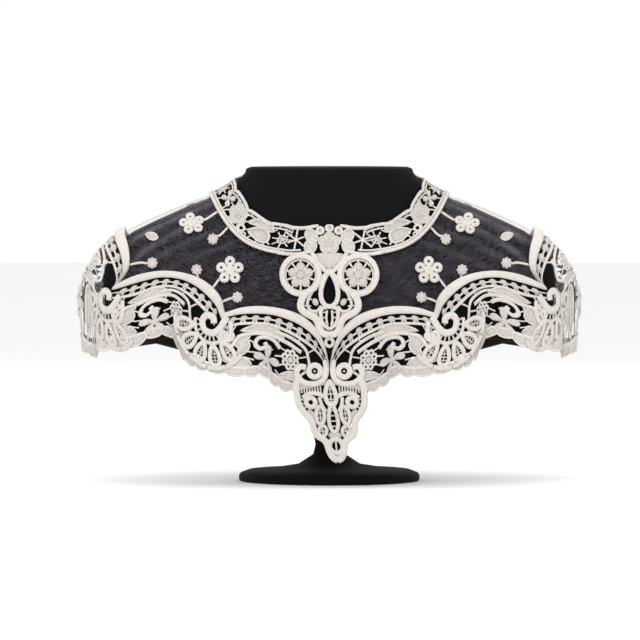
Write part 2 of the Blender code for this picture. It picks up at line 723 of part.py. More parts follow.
def buttons(material):
    """Two small domed buttons beside the centre-back opening."""
    for name, length in BUTTONS:
        turn, down = place_at(BACK_EDGE, length)
        centre = near((turn, down), -BUTTON_OFFSET, 0.0)
        low = sum(LACE_LAYER) + SEAM
        mesh_data = bmesh.new()
        rings = []
        for share, rise in ((0.45, 1.0), (0.85, 0.75), (1.0, 0.35), (0.8, 0.0)):
            ring = []
            for step in range(12):
                angle = 2.0 * math.pi * step / 12
                reach = BUTTON_RADIUS * share
                place = near(centre, reach * math.cos(angle), reach * math.sin(angle))
                ring.append(body_point(place, low + rise * BUTTON_HEIGHT))
            rings.append(ring_of(mesh_data, ring))
        join_rings(mesh_data, rings)
        add_object(f"button_{name}", mesh_data, material)


def main():
    for leftover in list(bpy.data.objects):
        bpy.data.objects.remove(leftover)
    lace = finish("ivory_lace", IVORY, 0.85)
    net = finish("cream_net", NET_CREAM, 0.9)
    velvet = finish("black_display", BLACK, 0.8)
    units = make_scallops()
    display_bust(units, velvet)
    display_foot(velvet)
    net_panels(units, net)
    centre_motif(lace)
    neckband(lace)
    tip(lace)
    for name, some in (("front", units[:2]), ("shoulder", units[2:3]), ("back", units[3:])):
        outline, gaps = border_length(some)
        piece = cloth_wall(f"border_{name}_right", outline, gaps, LACE_LAYER, BORDER_SPACING, lace)
        mirror_piece(piece, f"border_{name}_left")
    applied_pieces(lace)
    buttons(lace)


main()
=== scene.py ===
# %% [markdown]
# # A lace collar on a display bust
#
# The real collar has a sheer net yoke and a wide border of guipure: embroidery worked on a ground
# that is dissolved afterwards, so that only cords, petals and thin tie bars are left. A collar like
# that is drawn flat and then worn on a curved body. This lesson does the same. Each motif is drawn
# flat with curves and small padded shapes, in millimetres, and a mapping lays it over the shoulders.

# %% Load the frame and keep its box
import math

import bmesh
import bpy
import numpy as np
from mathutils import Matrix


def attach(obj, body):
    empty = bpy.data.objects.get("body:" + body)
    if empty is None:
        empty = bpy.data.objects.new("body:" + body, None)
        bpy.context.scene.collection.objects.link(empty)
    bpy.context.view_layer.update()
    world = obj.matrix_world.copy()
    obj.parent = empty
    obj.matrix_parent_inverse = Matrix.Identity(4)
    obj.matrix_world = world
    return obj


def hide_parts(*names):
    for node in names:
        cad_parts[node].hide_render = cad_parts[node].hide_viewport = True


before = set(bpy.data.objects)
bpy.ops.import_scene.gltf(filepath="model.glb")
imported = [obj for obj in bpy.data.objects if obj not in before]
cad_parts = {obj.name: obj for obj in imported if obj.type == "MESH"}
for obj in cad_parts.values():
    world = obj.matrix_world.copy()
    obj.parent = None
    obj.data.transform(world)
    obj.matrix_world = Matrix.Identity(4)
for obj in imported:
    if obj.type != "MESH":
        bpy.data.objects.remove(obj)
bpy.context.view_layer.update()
MM = 0.001

# %% [markdown]
# ## The body under the cloth
#
# A place on the cloth is a turn round the neck, in degrees, and a number of rows down from the
# neckline. A short table gives the body's reach and height on each row, and a smooth curve runs
# through it. Everything sewn on the collar is laid over this one surface, so nothing floats.

# %% The body's table and the curve through it
BODY_COLUMNS = ("side", "front", "back", "front_height", "side_height", "back_height", "rise_power")
BODY_ROWS = np.array((
    (80.0, 62.0, 60.0, 221.0, 258.0, 266.0, 5.0),
    (97.0, 69.0, 71.0, 205.0, 248.0, 255.0, 5.6),
    (140.0, 92.0, 96.0, 170.0, 230.0, 222.0, 3.0),
    (185.0, 105.0, 108.0, 130.0, 209.0, 186.0, 2.0),
    (206.0, 111.0, 113.0, 90.0, 184.0, 149.0, 2.0),
    (211.5, 113.0, 114.0, 55.0, 160.0, 114.0, 2.0),
    (208.0, 111.0, 112.0, 20.0, 112.0, 76.0, 2.0),
))
LAST_ROW = len(BODY_ROWS) - 1
MM_PER_ROW = 42.0
CENTRE_Y = -0.48
# Soft folds in the cloth that hangs free past the shoulders: turn, how far out, width.
FOLDS = ((63.0, 3.0, 6.0), (76.0, -4.0, 6.0), (90.0, 3.0, 7.0), (104.0, -4.0, 6.0), (117.0, 3.0, 6.0))
FOLD_START, FOLD_FULL = 3.6, 5.4


def curve_values(rows, places):
    """Values of a table at places between its rows, on a smooth curve through them."""
    rows = np.asarray(rows, float)
    last = len(rows) - 1
    places = np.clip(np.atleast_1d(np.asarray(places, float)), 0.0, last)
    first = np.minimum(places.astype(int), last - 1)
    part = (places - first)[:, None]
    ends = np.vstack((2.0 * rows[0] - rows[1], rows, 2.0 * rows[-1] - rows[-2]))
    before, start, end, after = (ends[first + step] for step in range(4))
    bend = 2.0 * before - 5.0 * start + 4.0 * end - after
    twist = 3.0 * start - before - 3.0 * end + after
    return 0.5 * (2.0 * start + (end - before) * part + bend * part**2 + twist * part**3)


def fold_push(turn, down):
    part = np.clip((down - FOLD_START) / (FOLD_FULL - FOLD_START), 0.0, 1.0)
    push = sum(out * np.exp(-(((np.abs(turn) - place) / width) ** 2)) for place, out, width in FOLDS)
    return part * part * (3.0 - 2.0 * part) * push


def bare_points(turn, down):
    """Points of the body itself, in millimetres."""
    row = dict(zip(BODY_COLUMNS, curve_values(BODY_ROWS, down).T))
    angle = np.radians(turn)
    forward = np.cos(angle)
    ahead = forward >= 0.0
    reach = np.where(ahead, row["front"], row["back"])
    end_height = np.where(ahead, row["front_height"], row["back_height"])
    side = row["side"] + fold_push(turn, down)
    share = 1.0 - np.abs(np.sin(angle)) ** row["rise_power"]
    height = row["side_height"] + (end_height - row["side_height"]) * share
    return np.stack((side * np.sin(angle), CENTRE_Y - reach * forward, height), axis=1)


def body_points(turn, down, lift):
    """Points at a lift square to the body, in metres."""
    turn, down = np.asarray(turn, float), np.clip(np.asarray(down, float), 0.0, LAST_ROW)
    around = bare_points(turn + 0.5, down) - bare_points(turn - 0.5, down)
    below = bare_points(turn, np.minimum(down + 0.02, LAST_ROW))
    along = below - bare_points(turn, np.maximum(down - 0.02, 0.0))
    outward = np.cross(along, around)
    outward /= np.linalg.norm(outward, axis=1)[:, None]
    return (bare_points(turn, down) + outward * np.asarray(lift, float).reshape(-1, 1)) * MM


def seen_from_front(x, height):
    """The places on the front of the cloth that are seen at this x and height."""
    x, height = np.atleast_1d(np.asarray(x, float)), np.atleast_1d(np.asarray(height, float))
    downs = np.linspace(0.0, LAST_ROW, 401)
    side, _, _, front_height, side_height, _, rise_power = curve_values(BODY_ROWS, downs).T
    ratio = x[:, None] / side[None, :]
    turns = np.arcsin(np.clip(ratio, -1.0, 1.0))
    heights = side_height + (front_height - side_height) * (1.0 - np.abs(np.sin(turns)) ** rise_power)
    below = (heights <= height[:, None]) & (np.abs(ratio) <= 1.0)
    found = np.where(below.any(axis=1), below.argmax(axis=1), len(downs) - 1)
    lines = np.arange(len(x))
    previous = np.maximum(found - 1, 0)
    drop = heights[lines, previous] - heights[lines, found]
    part = np.where(drop > 1e-6, (heights[lines, previous] - height) / np.maximum(drop, 1e-6), 1.0)
    part = np.clip(part, 0.0, 1.0)
    turn = turns[lines, previous] + (turns[lines, found] - turns[lines, previous]) * part
    return np.degrees(turn), downs[previous] + (downs[found] - downs[previous]) * part


def lengths_down(turn, most=3.0, steps=48):
    """For each turn, the rows down and the millimetres walked along the cloth to reach them."""
    downs = np.linspace(0.0, most, steps + 1)
    stack = np.stack([bare_points(turn, np.full(len(turn), down)) for down in downs], axis=1)
    walked = np.linalg.norm(np.diff(stack, axis=1), axis=2).cumsum(axis=1)
    return downs, np.concatenate((np.zeros((len(turn), 1)), walked), axis=1)


def place_at(turn, length):
    """The places that lie some millimetres down from the neckline."""
    turn, length = np.atleast_1d(np.asarray(turn, float)), np.atleast_1d(np.asarray(length, float))
    downs, walked = lengths_down(turn)
    return turn, np.array([np.interp(want, line, downs) for want, line in zip(length, walked)])


print("front of the neckline", body_points([0.0], [0.0], [0.0])[0].round(4))

# %% [markdown]
# ## The camera, the floor and the light
#
# The collar was photographed from straight in front and a little above, from far away. A long lens
# keeps that flat look. The photograph's scale is 0.85 mm a pixel, which sets the distance. Large
# soft lights on both sides keep the shadows in the lace open, and a flat pale floor lies below.

# %% Camera and stage
MM_PER_PIXEL = 0.85
FRAME_PIXELS = 640
LENS_MM, SENSOR_MM = 400.0, 36.0
AIM = (-0.008, -0.095, 0.142)
CAMERA_ELEVATION = math.radians(2.0)


def select_only(*pieces):
    bpy.ops.object.select_all(action="DESELECT")
    for piece in pieces:
        piece.select_set(True)
    bpy.context.view_layer.objects.active = pieces[0]


def add_camera():
    width = MM_PER_PIXEL * FRAME_PIXELS * MM
    away = width * LENS_MM / SENSOR_MM
    back, up = away * math.cos(CAMERA_ELEVATION), away * math.sin(CAMERA_ELEVATION)
    bpy.ops.object.camera_add(
        location=(AIM[0], AIM[1] - back, AIM[2] + up),
        rotation=(math.pi / 2.0 - CAMERA_ELEVATION, 0.0, 0.0),
    )
    camera = bpy.context.object
    camera.name = "front_camera"
    camera.data.lens = LENS_MM
    camera.data.sensor_width = SENSOR_MM
    camera.data.clip_end = 50.0
    bpy.context.scene.camera = camera


def add_stage():
    bpy.ops.object.select_all(action="DESELECT")
    bpy.ops.mesh.primitive_plane_add(size=14.0, location=(0.0, 0.0, 0.0))
    floor = bpy.context.object
    floor.name = "pale_floor"
    return floor


def add_area_light(name, place, aim, size, power):
    bpy.ops.object.light_add(type="AREA", location=place)
    light = bpy.context.object
    light.name = name
    light.data.size = size
    light.data.energy = power
    way = [to - start for to, start in zip(aim, place)]
    flat_way = math.hypot(way[0], way[1])
    light.rotation_euler = (math.atan2(flat_way, -way[2]), 0.0, math.atan2(-way[0], way[1]))
    return light


def add_lights():
    aim = (0.0, 0.0, 0.16)
    add_area_light("key_light", (-0.9, -1.5, 1.3), aim, 1.0, 11.0)
    add_area_light("fill_light", (1.2, -1.3, 0.8), aim, 1.2, 5.0)
    add_area_light("back_light", (0.3, 1.6, 1.4), aim, 1.2, 9.0)
    add_area_light("top_light", (0.0, -0.2, 1.8), aim, 1.2, 5.0)
    world = bpy.data.worlds.new("studio")
    world.use_nodes = True
    background = world.node_tree.nodes["Background"]
    background.inputs["Color"].default_value = (1.0, 1.0, 1.0, 1.0)
    background.inputs["Strength"].default_value = 1.0
    bpy.context.scene.world = world


add_camera()
floor = add_stage()
add_lights()
bpy.context.scene.view_settings.view_transform = "Standard"
print("camera", bpy.context.scene.camera.name)

# %% [markdown]
# ## Shader maths as Python
#
# A material's pattern is arithmetic on coordinates. Wrapping a socket in a small class lets that
# arithmetic be written as an expression, and the class adds the Math nodes.

# %% A socket that can be added and multiplied
class Value:
    """A shader socket with the usual operators."""

    def __init__(self, tree, socket):
        self.tree, self.socket = tree, socket

    def made(self, operation, *inputs):
        return node(self.tree, "ShaderNodeMath", {"operation": operation}, dict(enumerate(inputs)))

    def __add__(self, other):
        return self.made("ADD", self, other)

    def __sub__(self, other):
        return self.made("SUBTRACT", self, other)

    def __rsub__(self, other):
        return self.made("SUBTRACT", other, self)

    def __mul__(self, other):
        return self.made("MULTIPLY", self, other)

    def sine(self):
        return self.made("SINE", self)

    def greater(self, limit):
        return self.made("GREATER_THAN", self, limit)

    def highest(self, other):
        return self.made("MAXIMUM", self, other)

    __radd__ = __add__
    __rmul__ = __mul__


def node(tree, kind, settings=None, inputs=None, output=0):
    """Add a node, its settings first and then the values or links of its sockets."""
    made = tree.nodes.new(kind)
    for name, value in (settings or {}).items():
        setattr(made, name, value)
    for name, value in (inputs or {}).items():
        if isinstance(value, Value):
            tree.links.new(value.socket, made.inputs[name])
        else:
            made.inputs[name].default_value = value
    return Value(tree, made.outputs[output])


def new_material(name, roughness, sheen):
    material = bpy.data.materials.new(name)
    material.use_nodes = True
    shader = material.node_tree.nodes["Principled BSDF"]
    shader.inputs["Roughness"].default_value = roughness
    shader.inputs["Sheen Weight"].default_value = sheen
    shader.inputs["Specular IOR Level"].default_value = 0.25
    return material, material.node_tree, shader


def feed(shader, name, value):
    value.tree.links.new(value.socket, shader.inputs[name])


# %% [markdown]
# ## The finishes
#
# Old cotton lace is a warm ivory, a little yellower in some places than others. Its cords are
# wrapped in satin stitches, which catch the light as fine ridges across each cord. The net is far
# finer than the render can draw, so its holes are a weave in the material's alpha. The bust has a
# soft black flocked cover, and the floor is plain.

# %% Lace, net, velvet and floor
def noise(tree, coordinates, scale, detail=3.0):
    return node(tree, "ShaderNodeTexNoise", {}, {"Vector": coordinates, "Scale": scale, "Detail": detail})


def mix_colour(tree, factor, first, second):
    settings = {"data_type": "RGBA"}
    return node(tree, "ShaderNodeMix", settings, {0: factor, 6: (*first, 1.0), 7: (*second, 1.0)}, output=2)


def lace_material(name, light, dark):
    material, tree, shader = new_material(name, 0.82, 0.25)
    place = node(tree, "ShaderNodeTexCoord", output=3)
    flat = node(tree, "ShaderNodeUVMap", {"uv_map": "flat"})
    along = node(tree, "ShaderNodeSeparateXYZ", {}, {0: flat}, output=0)
    across = node(tree, "ShaderNodeSeparateXYZ", {}, {0: flat}, output=1)
    age = noise(tree, place, 16.0)
    mottle = noise(tree, place, 330.0)
    fibre = noise(tree, place, 1400.0, 2.0)
    # The satin stitches are real ridges in the bump below, and their light and shade is also painted
    # faintly into the colour as stripes.
    stitch_ridges_and_shine = (along * 400.0 + across * 170.0).sine()
    factor = age * 0.5 + mottle * 0.55 + fibre * 0.25 + stitch_ridges_and_shine * 0.06 - 0.15
    feed(shader, "Base Color", mix_colour(tree, factor, dark, light))
    thread = stitch_ridges_and_shine * 0.6 + mottle * 1.2 + fibre * 1.0
    bump = node(tree, "ShaderNodeBump", {}, {"Height": thread, "Distance": 0.0007, "Strength": 0.8})
    feed(shader, "Normal", bump)
    return material


def net_material():
    material, tree, shader = new_material("cream_net", 0.9, 0.3)
    flat = node(tree, "ShaderNodeUVMap", {"uv_map": "flat"})
    across = node(tree, "ShaderNodeSeparateXYZ", {}, {0: flat}, output=0)
    down = node(tree, "ShaderNodeSeparateXYZ", {}, {0: flat}, output=1)
    threads = ((across * 560.0 + down * 320.0).sine()).highest((across * 560.0 - down * 320.0).sine())
    threads = threads.highest((down * 640.0).sine())
    stretched = node(tree, "ShaderNodeMapping", {}, {"Vector": flat, "Scale": (3.0, 24.0, 1.0)})
    streaks = noise(tree, stretched, 4.0, 4.0)
    patchy = noise(tree, flat, 5.0)
    folds_and_sheen = node(tree, "ShaderNodeAttribute", {"attribute_name": "fold_and_sheen"}, output=2)
    cut_away = node(tree, "ShaderNodeAttribute", {"attribute_name": "cut_away"}, output=2)
    # The colour goes from a dark purple-grey to a pale pinkish cream, and the cover rises, where the net is
    # folded and where it is seen edge-on along the shoulder ridge: partly real folds, partly painted sheen.
    feed(shader, "Base Color", mix_colour(tree, folds_and_sheen, (0.31, 0.28, 0.34), (0.68, 0.60, 0.59)))
    mesh = threads.greater(0.62)
    cover = mesh * 0.04 + (streaks - 0.46) * 0.44 + patchy * 0.02 + folds_and_sheen * 0.6
    feed(shader, "Alpha", cover * (1.0 - cut_away))
    bump = node(tree, "ShaderNodeBump", {}, {"Height": threads, "Distance": 0.0002, "Strength": 0.5})
    feed(shader, "Normal", bump)
    return material


def velvet_material():
    material, tree, shader = new_material("black_velvet", 0.85, 0.0)
    place = node(tree, "ShaderNodeTexCoord", output=3)
    cloud = noise(tree, place, 22.0)
    pile = noise(tree, place, 2600.0, 1.0)
    black, worn_black = (0.0015, 0.0015, 0.002), (0.005, 0.0048, 0.006)
    feed(shader, "Base Color", mix_colour(tree, cloud * 0.6 + pile * 0.3, black, worn_black))
    shader.inputs["Specular IOR Level"].default_value = 0.12
    bump = node(tree, "ShaderNodeBump", {}, {"Height": pile, "Distance": 0.0003, "Strength": 0.4})
    feed(shader, "Normal", bump)
    return material


def floor_material():
    material, tree, shader = new_material("pale_paper", 0.9, 0.0)
    place = node(tree, "ShaderNodeTexCoord", output=3)
    cloudy = noise(tree, place, 3.0)
    feed(shader, "Base Color", mix_colour(tree, cloudy, (0.90, 0.90, 0.90), (0.93, 0.93, 0.93)))
    return material


LACE = lace_material("ivory_lace", (0.88, 0.83, 0.785), (0.60, 0.545, 0.495))
CLOTHWORK = lace_material("ivory_clothwork", (0.74, 0.69, 0.65), (0.50, 0.46, 0.43))
NET = net_material()
VELVET = velvet_material()
floor.data.materials.append(floor_material())
print("materials", len(bpy.data.materials))

# %% [markdown]
# ## Drawing flat
#
# A drawing holds cords and pads, in flat millimetres. A cord is a path with a thickness, and a pad
# is a closed outline that swells in the middle, like satin stitch over a padding. A drawing can be
# placed in another one, turned or flipped, so that a flower is drawn once.

# %% Paths
def path_through(points, step=1.6, closed=False):
    """Points spaced along a smooth curve through some chosen ones."""
    points = list(points)
    if closed:
        points = points + points[:1]
    length = sum(math.dist(first, second) for first, second in zip(points, points[1:]))
    if len(points) == 2:
        count = max(2, int(length / (2.5 * step)) + 1)
        start, way = np.array(points[0]), np.array(points[1]) - points[0]
        return [tuple(start + way * share) for share in np.linspace(0, 1, count)]
    count = max(len(points), int(length / step) + 1)
    if closed:
        wrapped = [points[-2], *points, points[1]]
        places = np.linspace(1.0, len(wrapped) - 2.0, count, endpoint=False)
        return [tuple(point) for point in curve_values(wrapped, places)]
    return [tuple(point) for point in curve_values(points, np.linspace(0.0, len(points) - 1.0, count))]


def arc(x, y, radius, start, stop, steps=16):
    """Points of a round arc, with angles in degrees."""
    angles = np.radians(np.linspace(start, stop, steps + 1))
    return [(x + radius * math.cos(angle), y + radius * math.sin(angle)) for angle in angles]


def reach(x, y, radius, angle):
    """The point at an angle on a circle."""
    return arc(x, y, radius, angle, angle, 1)[0]


def on_side(sign, line):
    """The line to the right of the middle, or its mirror image to the left."""
    return [(sign * x, y) for x, y in line]


def oval(x, y, long, wide, angle=0.0, steps=14):
    """Points of an oval, turned by an angle in degrees."""
    turned = math.radians(angle)
    points = []
    for step in range(steps):
        around = 2.0 * math.pi * step / steps
        first, second = long * math.cos(around), wide * math.sin(around)
        points.append((
            x + first * math.cos(turned) - second * math.sin(turned),
            y + first * math.sin(turned) + second * math.cos(turned),
        ))
    return points


def teardrop(x, y, angle, length, width, steps=14):
    """A drop with its point at (x, y), opening along an angle."""
    turned = math.radians(angle)
    points = []
    for step in range(steps):
        around = 2.0 * math.pi * step / steps
        first = length * 0.5 * (1.0 - math.cos(around))
        second = width * 0.5 * math.sin(around) * math.sin(around * 0.5) ** 0.8
        points.append((
            x + first * math.cos(turned) - second * math.sin(turned),
            y + first * math.sin(turned) + second * math.cos(turned),
        ))
    return points


# %% A flat drawing of cords and pads
class Drawing:
    """Cords and pads drawn flat, in millimetres."""

    def __init__(self):
        self.cords, self.pads = [], []

    def cord(self, points, radius, closed=False, height=0.0, smooth=True, step=1.6):
        path = path_through(points, step, closed) if smooth else list(points)
        self.cords.append((path, radius, closed, height))

    def pad(self, outline, height, base=0.0):
        self.pads.append((list(outline), height, base))

    def ring(self, x, y, radius, thick, sides=12, height=0.0):
        self.cord(oval(x, y, radius, radius, steps=sides), thick, closed=True, smooth=False, height=height)

    def dome(self, x, y, radius, height, sides=10, base=0.0):
        self.pad(oval(x, y, radius, radius, steps=sides), height, base)

    def tie(self, first, second, radius=0.45):
        self.cord([first, second], radius, height=0.25)

    def leaf(self, spine, width, cord=0.65, veins=2):
        """A leaf along a spine: clothwork with a corded edge and long veins."""
        line = np.array(path_through(spine, 2.2))
        way = np.gradient(line, axis=0)
        way /= np.linalg.norm(way, axis=1)[:, None]
        side = np.stack((-way[:, 1], way[:, 0]), axis=1)
        share = np.linspace(0.0, 1.0, len(line))
        half = (0.5 * width * np.sin(math.pi * share**0.85) ** 0.75)[:, None]
        upper, lower = line + side * half, line - side * half
        outline = [tuple(point) for point in upper] + [tuple(point) for point in lower[-2:0:-1]]
        self.pad(outline, 1.1)
        self.cord(outline, cord, closed=True, smooth=False, height=0.3)
        for vein in range(veins):
            place = (vein + 1.0) / (veins + 1.0) * 2.0 - 1.0
            vein = [tuple(point) for point in (line + side * half * place)[1:-1]]
            self.cord(vein, 0.38, smooth=False, height=0.95)

    def add(self, other, x=0.0, y=0.0, angle=0.0, flip=1.0, size=1.0):
        """Place another drawing in this one, flipped, sized, turned and moved."""
        turned = math.radians(angle)

        def moved(points):
            return [(
                x + size * (flip * a * math.cos(turned) - b * math.sin(turned)),
                y + size * (flip * a * math.sin(turned) + b * math.cos(turned)),
            ) for a, b in points]

        for path, radius, closed, height in other.cords:
            self.cords.append((moved(path), radius * size, closed, height))
        self.pads += [(moved(outline), height * size, base) for outline, height, base in other.pads]


# %% [markdown]
# ## From a drawing to a mesh
#
# Blender's curves have a round bevel, so a drawing's cords become one curve object each for thin
# and thick ones, which is then converted to a mesh. The pads are small domes made with bmesh. The
# cords are pressed to a low oval, as stitches are, and the flat place of every point is kept in a
# UV map, for the stitches in the material.

# %% Cords as curves, pads as domes
PRESS = 0.62
THICK_CORD = 1.9


def curve_mesh(name, cords, resolution):
    """One mesh of many cords."""
    data = bpy.data.curves.new(name, "CURVE")
    data.dimensions, data.twist_mode = "3D", "Z_UP"
    data.bevel_depth, data.bevel_resolution, data.use_fill_caps = 1.0, resolution, True
    for path, radius, closed, height in cords:
        spline = data.splines.new("POLY")
        spline.points.add(len(path) - 1)
        for point, (x, y) in zip(spline.points, path):
            point.co, point.radius = (x, y, radius + height / PRESS, 1.0), radius
        spline.use_cyclic_u = closed
    piece = bpy.data.objects.new(name, data)
    bpy.context.collection.objects.link(piece)
    select_only(piece)
    bpy.ops.object.convert(target="MESH")
    piece = bpy.context.object
    piece.data.materials.clear()
    return piece


def pad_mesh(name, pads):
    """One mesh of many padded shapes, each a closed dome with a flat back."""
    data = bmesh.new()
    for outline, height, base in pads:
        middle = np.mean(outline, axis=0)
        rings = []
        for share, rise in ((1.0, 0.0), (0.86, 0.62), (0.5, 0.95)):
            ring = []
            for point in outline:
                x, y = middle + (np.array(point) - middle) * share
                ring.append(data.verts.new((x, y, (base + rise * height) / PRESS)))
            rings.append(ring)
        top = data.verts.new((*middle, (base + height) / PRESS))
        count = len(outline)
        for lower, upper in zip(rings, rings[1:]):
            for step in range(count):
                after = (step + 1) % count
                data.faces.new((lower[step], lower[after], upper[after], upper[step]))
        for step in range(count):
            data.faces.new((rings[-1][step], rings[-1][(step + 1) % count], top))
        data.faces.new(list(reversed(rings[0])))
    bmesh.ops.recalc_face_normals(data, faces=data.faces[:])
    mesh = bpy.data.meshes.new(name)
    data.to_mesh(mesh)
    data.free()
    piece = bpy.data.objects.new(name, mesh)
    bpy.context.collection.objects.link(piece)
    return piece


def flat_mesh(name, drawing):
    """The drawing as one flat mesh, with its own flat coordinates kept in a UV map."""
    parts = []
    thin = [cord for cord in drawing.cords if cord[1] < THICK_CORD]
    thick = [cord for cord in drawing.cords if cord[1] >= THICK_CORD]
    for some, resolution in ((thin, 1), (thick, 3)):
        if some:
            parts.append(curve_mesh(name + "_cords", some, resolution))
            parts[-1].data.materials.append(LACE)
    if drawing.pads:
        parts.append(pad_mesh(name + "_pads", drawing.pads))
        parts[-1].data.materials.append(CLOTHWORK)
    for part in parts:
        while part.data.uv_layers:
            part.data.uv_layers.remove(part.data.uv_layers[0])
        part.data.uv_layers.new(name="flat")
    select_only(*parts)
    if len(parts) > 1:
        bpy.ops.object.join()
    piece = bpy.context.object
    piece.name = name
    mesh = piece.data
    flat = np.empty(len(mesh.vertices) * 3)
    mesh.vertices.foreach_get("co", flat)
    flat = flat.reshape(-1, 3)
    corners = np.empty(len(mesh.loops), dtype=int)
    mesh.loops.foreach_get("vertex_index", corners)
    mesh.uv_layers["flat"].data.foreach_set("uv", (flat[corners, :2] * 0.01).ravel())
    return piece, flat


# %% [markdown]
# ## Laying a drawing over the body
#
# A mapping turns flat millimetres into places on the cloth. Four are used: a strip that follows a
# scallop between its rope and its hem, the neckband's strip, a plain front view, and a small patch
# round one place. The lift is the height of each point above the body.

# %% Mappings and the lay of a piece
LACE_BASE = 1.5


def lay(name, drawing, mapping, base=LACE_BASE, mirror=False):
    """Make the drawing a mesh and lay it over the body by a mapping."""
    piece, flat = flat_mesh(name, drawing)
    turn, down = mapping(flat[:, 0], flat[:, 1])
    points = body_points(turn, down, base + flat[:, 2] * PRESS)
    if mirror:
        points[:, 0] *= -1.0
    piece.data.vertices.foreach_set("co", points.ravel())
    inward = points_inward(piece.data)
    if inward:
        piece.data.flip_normals()
    piece.data.update()
    select_only(piece)
    bpy.ops.object.shade_smooth()
    return piece


def points_inward(mesh):
    """Whether a closed mesh holds a negative volume, so that its faces point inwards."""
    data = bmesh.new()
    data.from_mesh(mesh)
    volume = data.calc_volume(signed=True)
    data.free()
    return volume < 0.0


def joined(name, pieces):
    select_only(*pieces)
    if len(pieces) > 1:
        bpy.ops.object.join()
    piece = bpy.context.object
    piece.name = name
    return piece


def front_view(x, y):
    return seen_from_front(x, y)


def patch(turn, down):
    """A mapping round one place: flat x to the right, flat y down, both measured along the cloth."""
    downs, walked = lengths_down(np.array([float(turn)]), LAST_ROW, 120)
    start = np.interp(down, downs, walked[0])
    steps = np.full(len(downs), float(turn))
    around = np.linalg.norm(bare_points(steps + 0.5, downs) - bare_points(steps - 0.5, downs), axis=1)

    def mapping(x, y):
        lower = np.interp(start + y, walked[0], downs)
        return turn + x / np.interp(lower, downs, around), lower

    return mapping


def finish_piece(piece, slot, *nodes):
    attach(piece, "root")
    if nodes:
        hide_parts(*nodes)


# %% [markdown]
# ## The scallops' lines
#
# Each scallop runs between a rope edge above and a hem below. The two front ones are placed by
# their front view, and the shoulder and back ones by turn and row. A strip mapping blends from the
# rope line to the hem line, so a straight drawing bends with the scallop.

# %% Five scallops from the centre front to the centre back
INNER_ROPE = (
    (0.3, 104.0), (3.4, 118.5), (10.2, 133.2), (22.0, 144.2), (38.0, 150.2), (56.0, 152.6),
    (73.0, 151.6), (88.0, 147.2),
)
INNER_HEM = (
    (0.3, 88.6), (12.0, 87.7), (24.0, 85.0), (36.0, 84.2), (47.0, 90.0), (56.0, 97.5), (68.0, 96.5),
    (86.0, 97.5), (104.0, 100.5),
)
OUTER_ROPE = (
    (88.0, 147.2), (91.5, 159.0), (99.5, 168.5), (111.0, 175.6), (124.5, 179.6), (138.5, 181.0),
    (152.5, 180.0), (166.0, 176.6), (178.5, 170.6),
)
OUTER_HEM = (
    (104.0, 100.5), (114.0, 104.0), (123.0, 110.5), (128.5, 121.0), (136.0, 130.0), (150.0, 128.5),
    (165.0, 121.5), (181.0, 118.5), (198.0, 118.0),
)
SHOULDER_ROPE = (
    (61.7, 3.28), (67.8, 2.97), (78.5, 2.8), (90.0, 2.72), (101.5, 2.8), (112.2, 2.97), (118.3, 3.28),
)
SHOULDER_HEM = ((78.0, 5.95), (90.0, 5.9), (102.0, 5.95))
BACK_ROPE = ((158.0, 2.75), (166.0, 2.62), (174.0, 2.75), (179.85, 3.05))
BACK_HEM = ((158.0, 4.55), (166.0, 4.35), (173.0, 4.5), (179.85, 4.4))
BACK_EDGE = 179.85
STRIP_LENGTH, STRIP_DEPTH = 112.0, 60.0


def make_scallops():
    def from_front(points):
        return [tuple(map(float, pair)) for pair in zip(*seen_from_front(*zip(*points)))]

    def behind(points):
        return [(180.0 - turn, down) for turn, down in reversed(points)]

    front = from_front(INNER_ROPE), from_front(INNER_HEM)
    outer = from_front(OUTER_ROPE), from_front(OUTER_HEM)
    outer_back = behind(outer[0]), behind(outer[1])
    shoulder_rope = [outer[0][-1], *SHOULDER_ROPE, outer_back[0][0]]
    shoulder = shoulder_rope, [outer[1][-1], *SHOULDER_HEM, outer_back[1][0]]
    back = [outer_back[0][-1], *BACK_ROPE], [outer_back[1][-1], *BACK_HEM]
    return [front, outer, shoulder, outer_back, back]


SCALLOPS = make_scallops()


def strip(scallop, depth=STRIP_DEPTH):
    """A mapping from the straight strip to one scallop."""
    rope, hem = scallop

    def mapping(x, y):
        along = np.clip(x / STRIP_LENGTH, 0.0, 1.0)
        across = (y / depth)[:, None]
        top = curve_values(rope, along * (len(rope) - 1))
        low = curve_values(hem, along * (len(hem) - 1))
        places = top + (low - top) * across
        return places[:, 0], places[:, 1]

    return mapping


print("scallops", len(SCALLOPS))

# %% [markdown]
# ## Small motifs of the guipure
#
# The border is made of a few motifs that return. The smallest is a star of little eyelets round a
# padded dome.

# %% Star
def star_flower(petals=8, radius=7.4):
    drawing = Drawing()
    drawing.dome(0.0, 0.0, 2.3, 1.7, base=0.3)
    for petal in range(petals):
        angle = 360.0 * petal / petals
        x, y = reach(0.0, 0.0, radius * 0.66, angle)
        drawing.ring(x, y, 1.75, 0.95, sides=9, height=0.2)
    return drawing


# %% [markdown]
# ## One scallop of the border
#
# Under the thick rope runs a row of beads on tie bars, then a double cord. Below it lie a veined
# leaf, a star flower in a ring, curls at both ends and leaves along the lobed hem. It is drawn once
# along a straight strip.

# %% The scallop, drawn straight
HEM_LOBES = 9
BEADS, BEAD_FROM, BEAD_TO = 11, 11.0, 101.0


def hem_lobe(drawing, x, y, wide, deep):
    """One round lobe of clothwork at the hem, with a corded edge."""
    outline = oval(x, y, wide, deep, steps=12)
    drawing.pad(outline, 1.3)
    drawing.cord(outline, 1.05, closed=True, smooth=False, height=0.3)


def eyelet_petal(drawing, x, y, angle, length, width):
    """A long petal from (x, y) with a small eyelet near its end."""
    drawing.pad(teardrop(x, y, angle, length, width, 12), 1.5, base=0.2)
    far_x, far_y = reach(x, y, length * 0.68, angle)
    drawing.ring(far_x, far_y, width * 0.27, 0.65, sides=9, height=1.1)


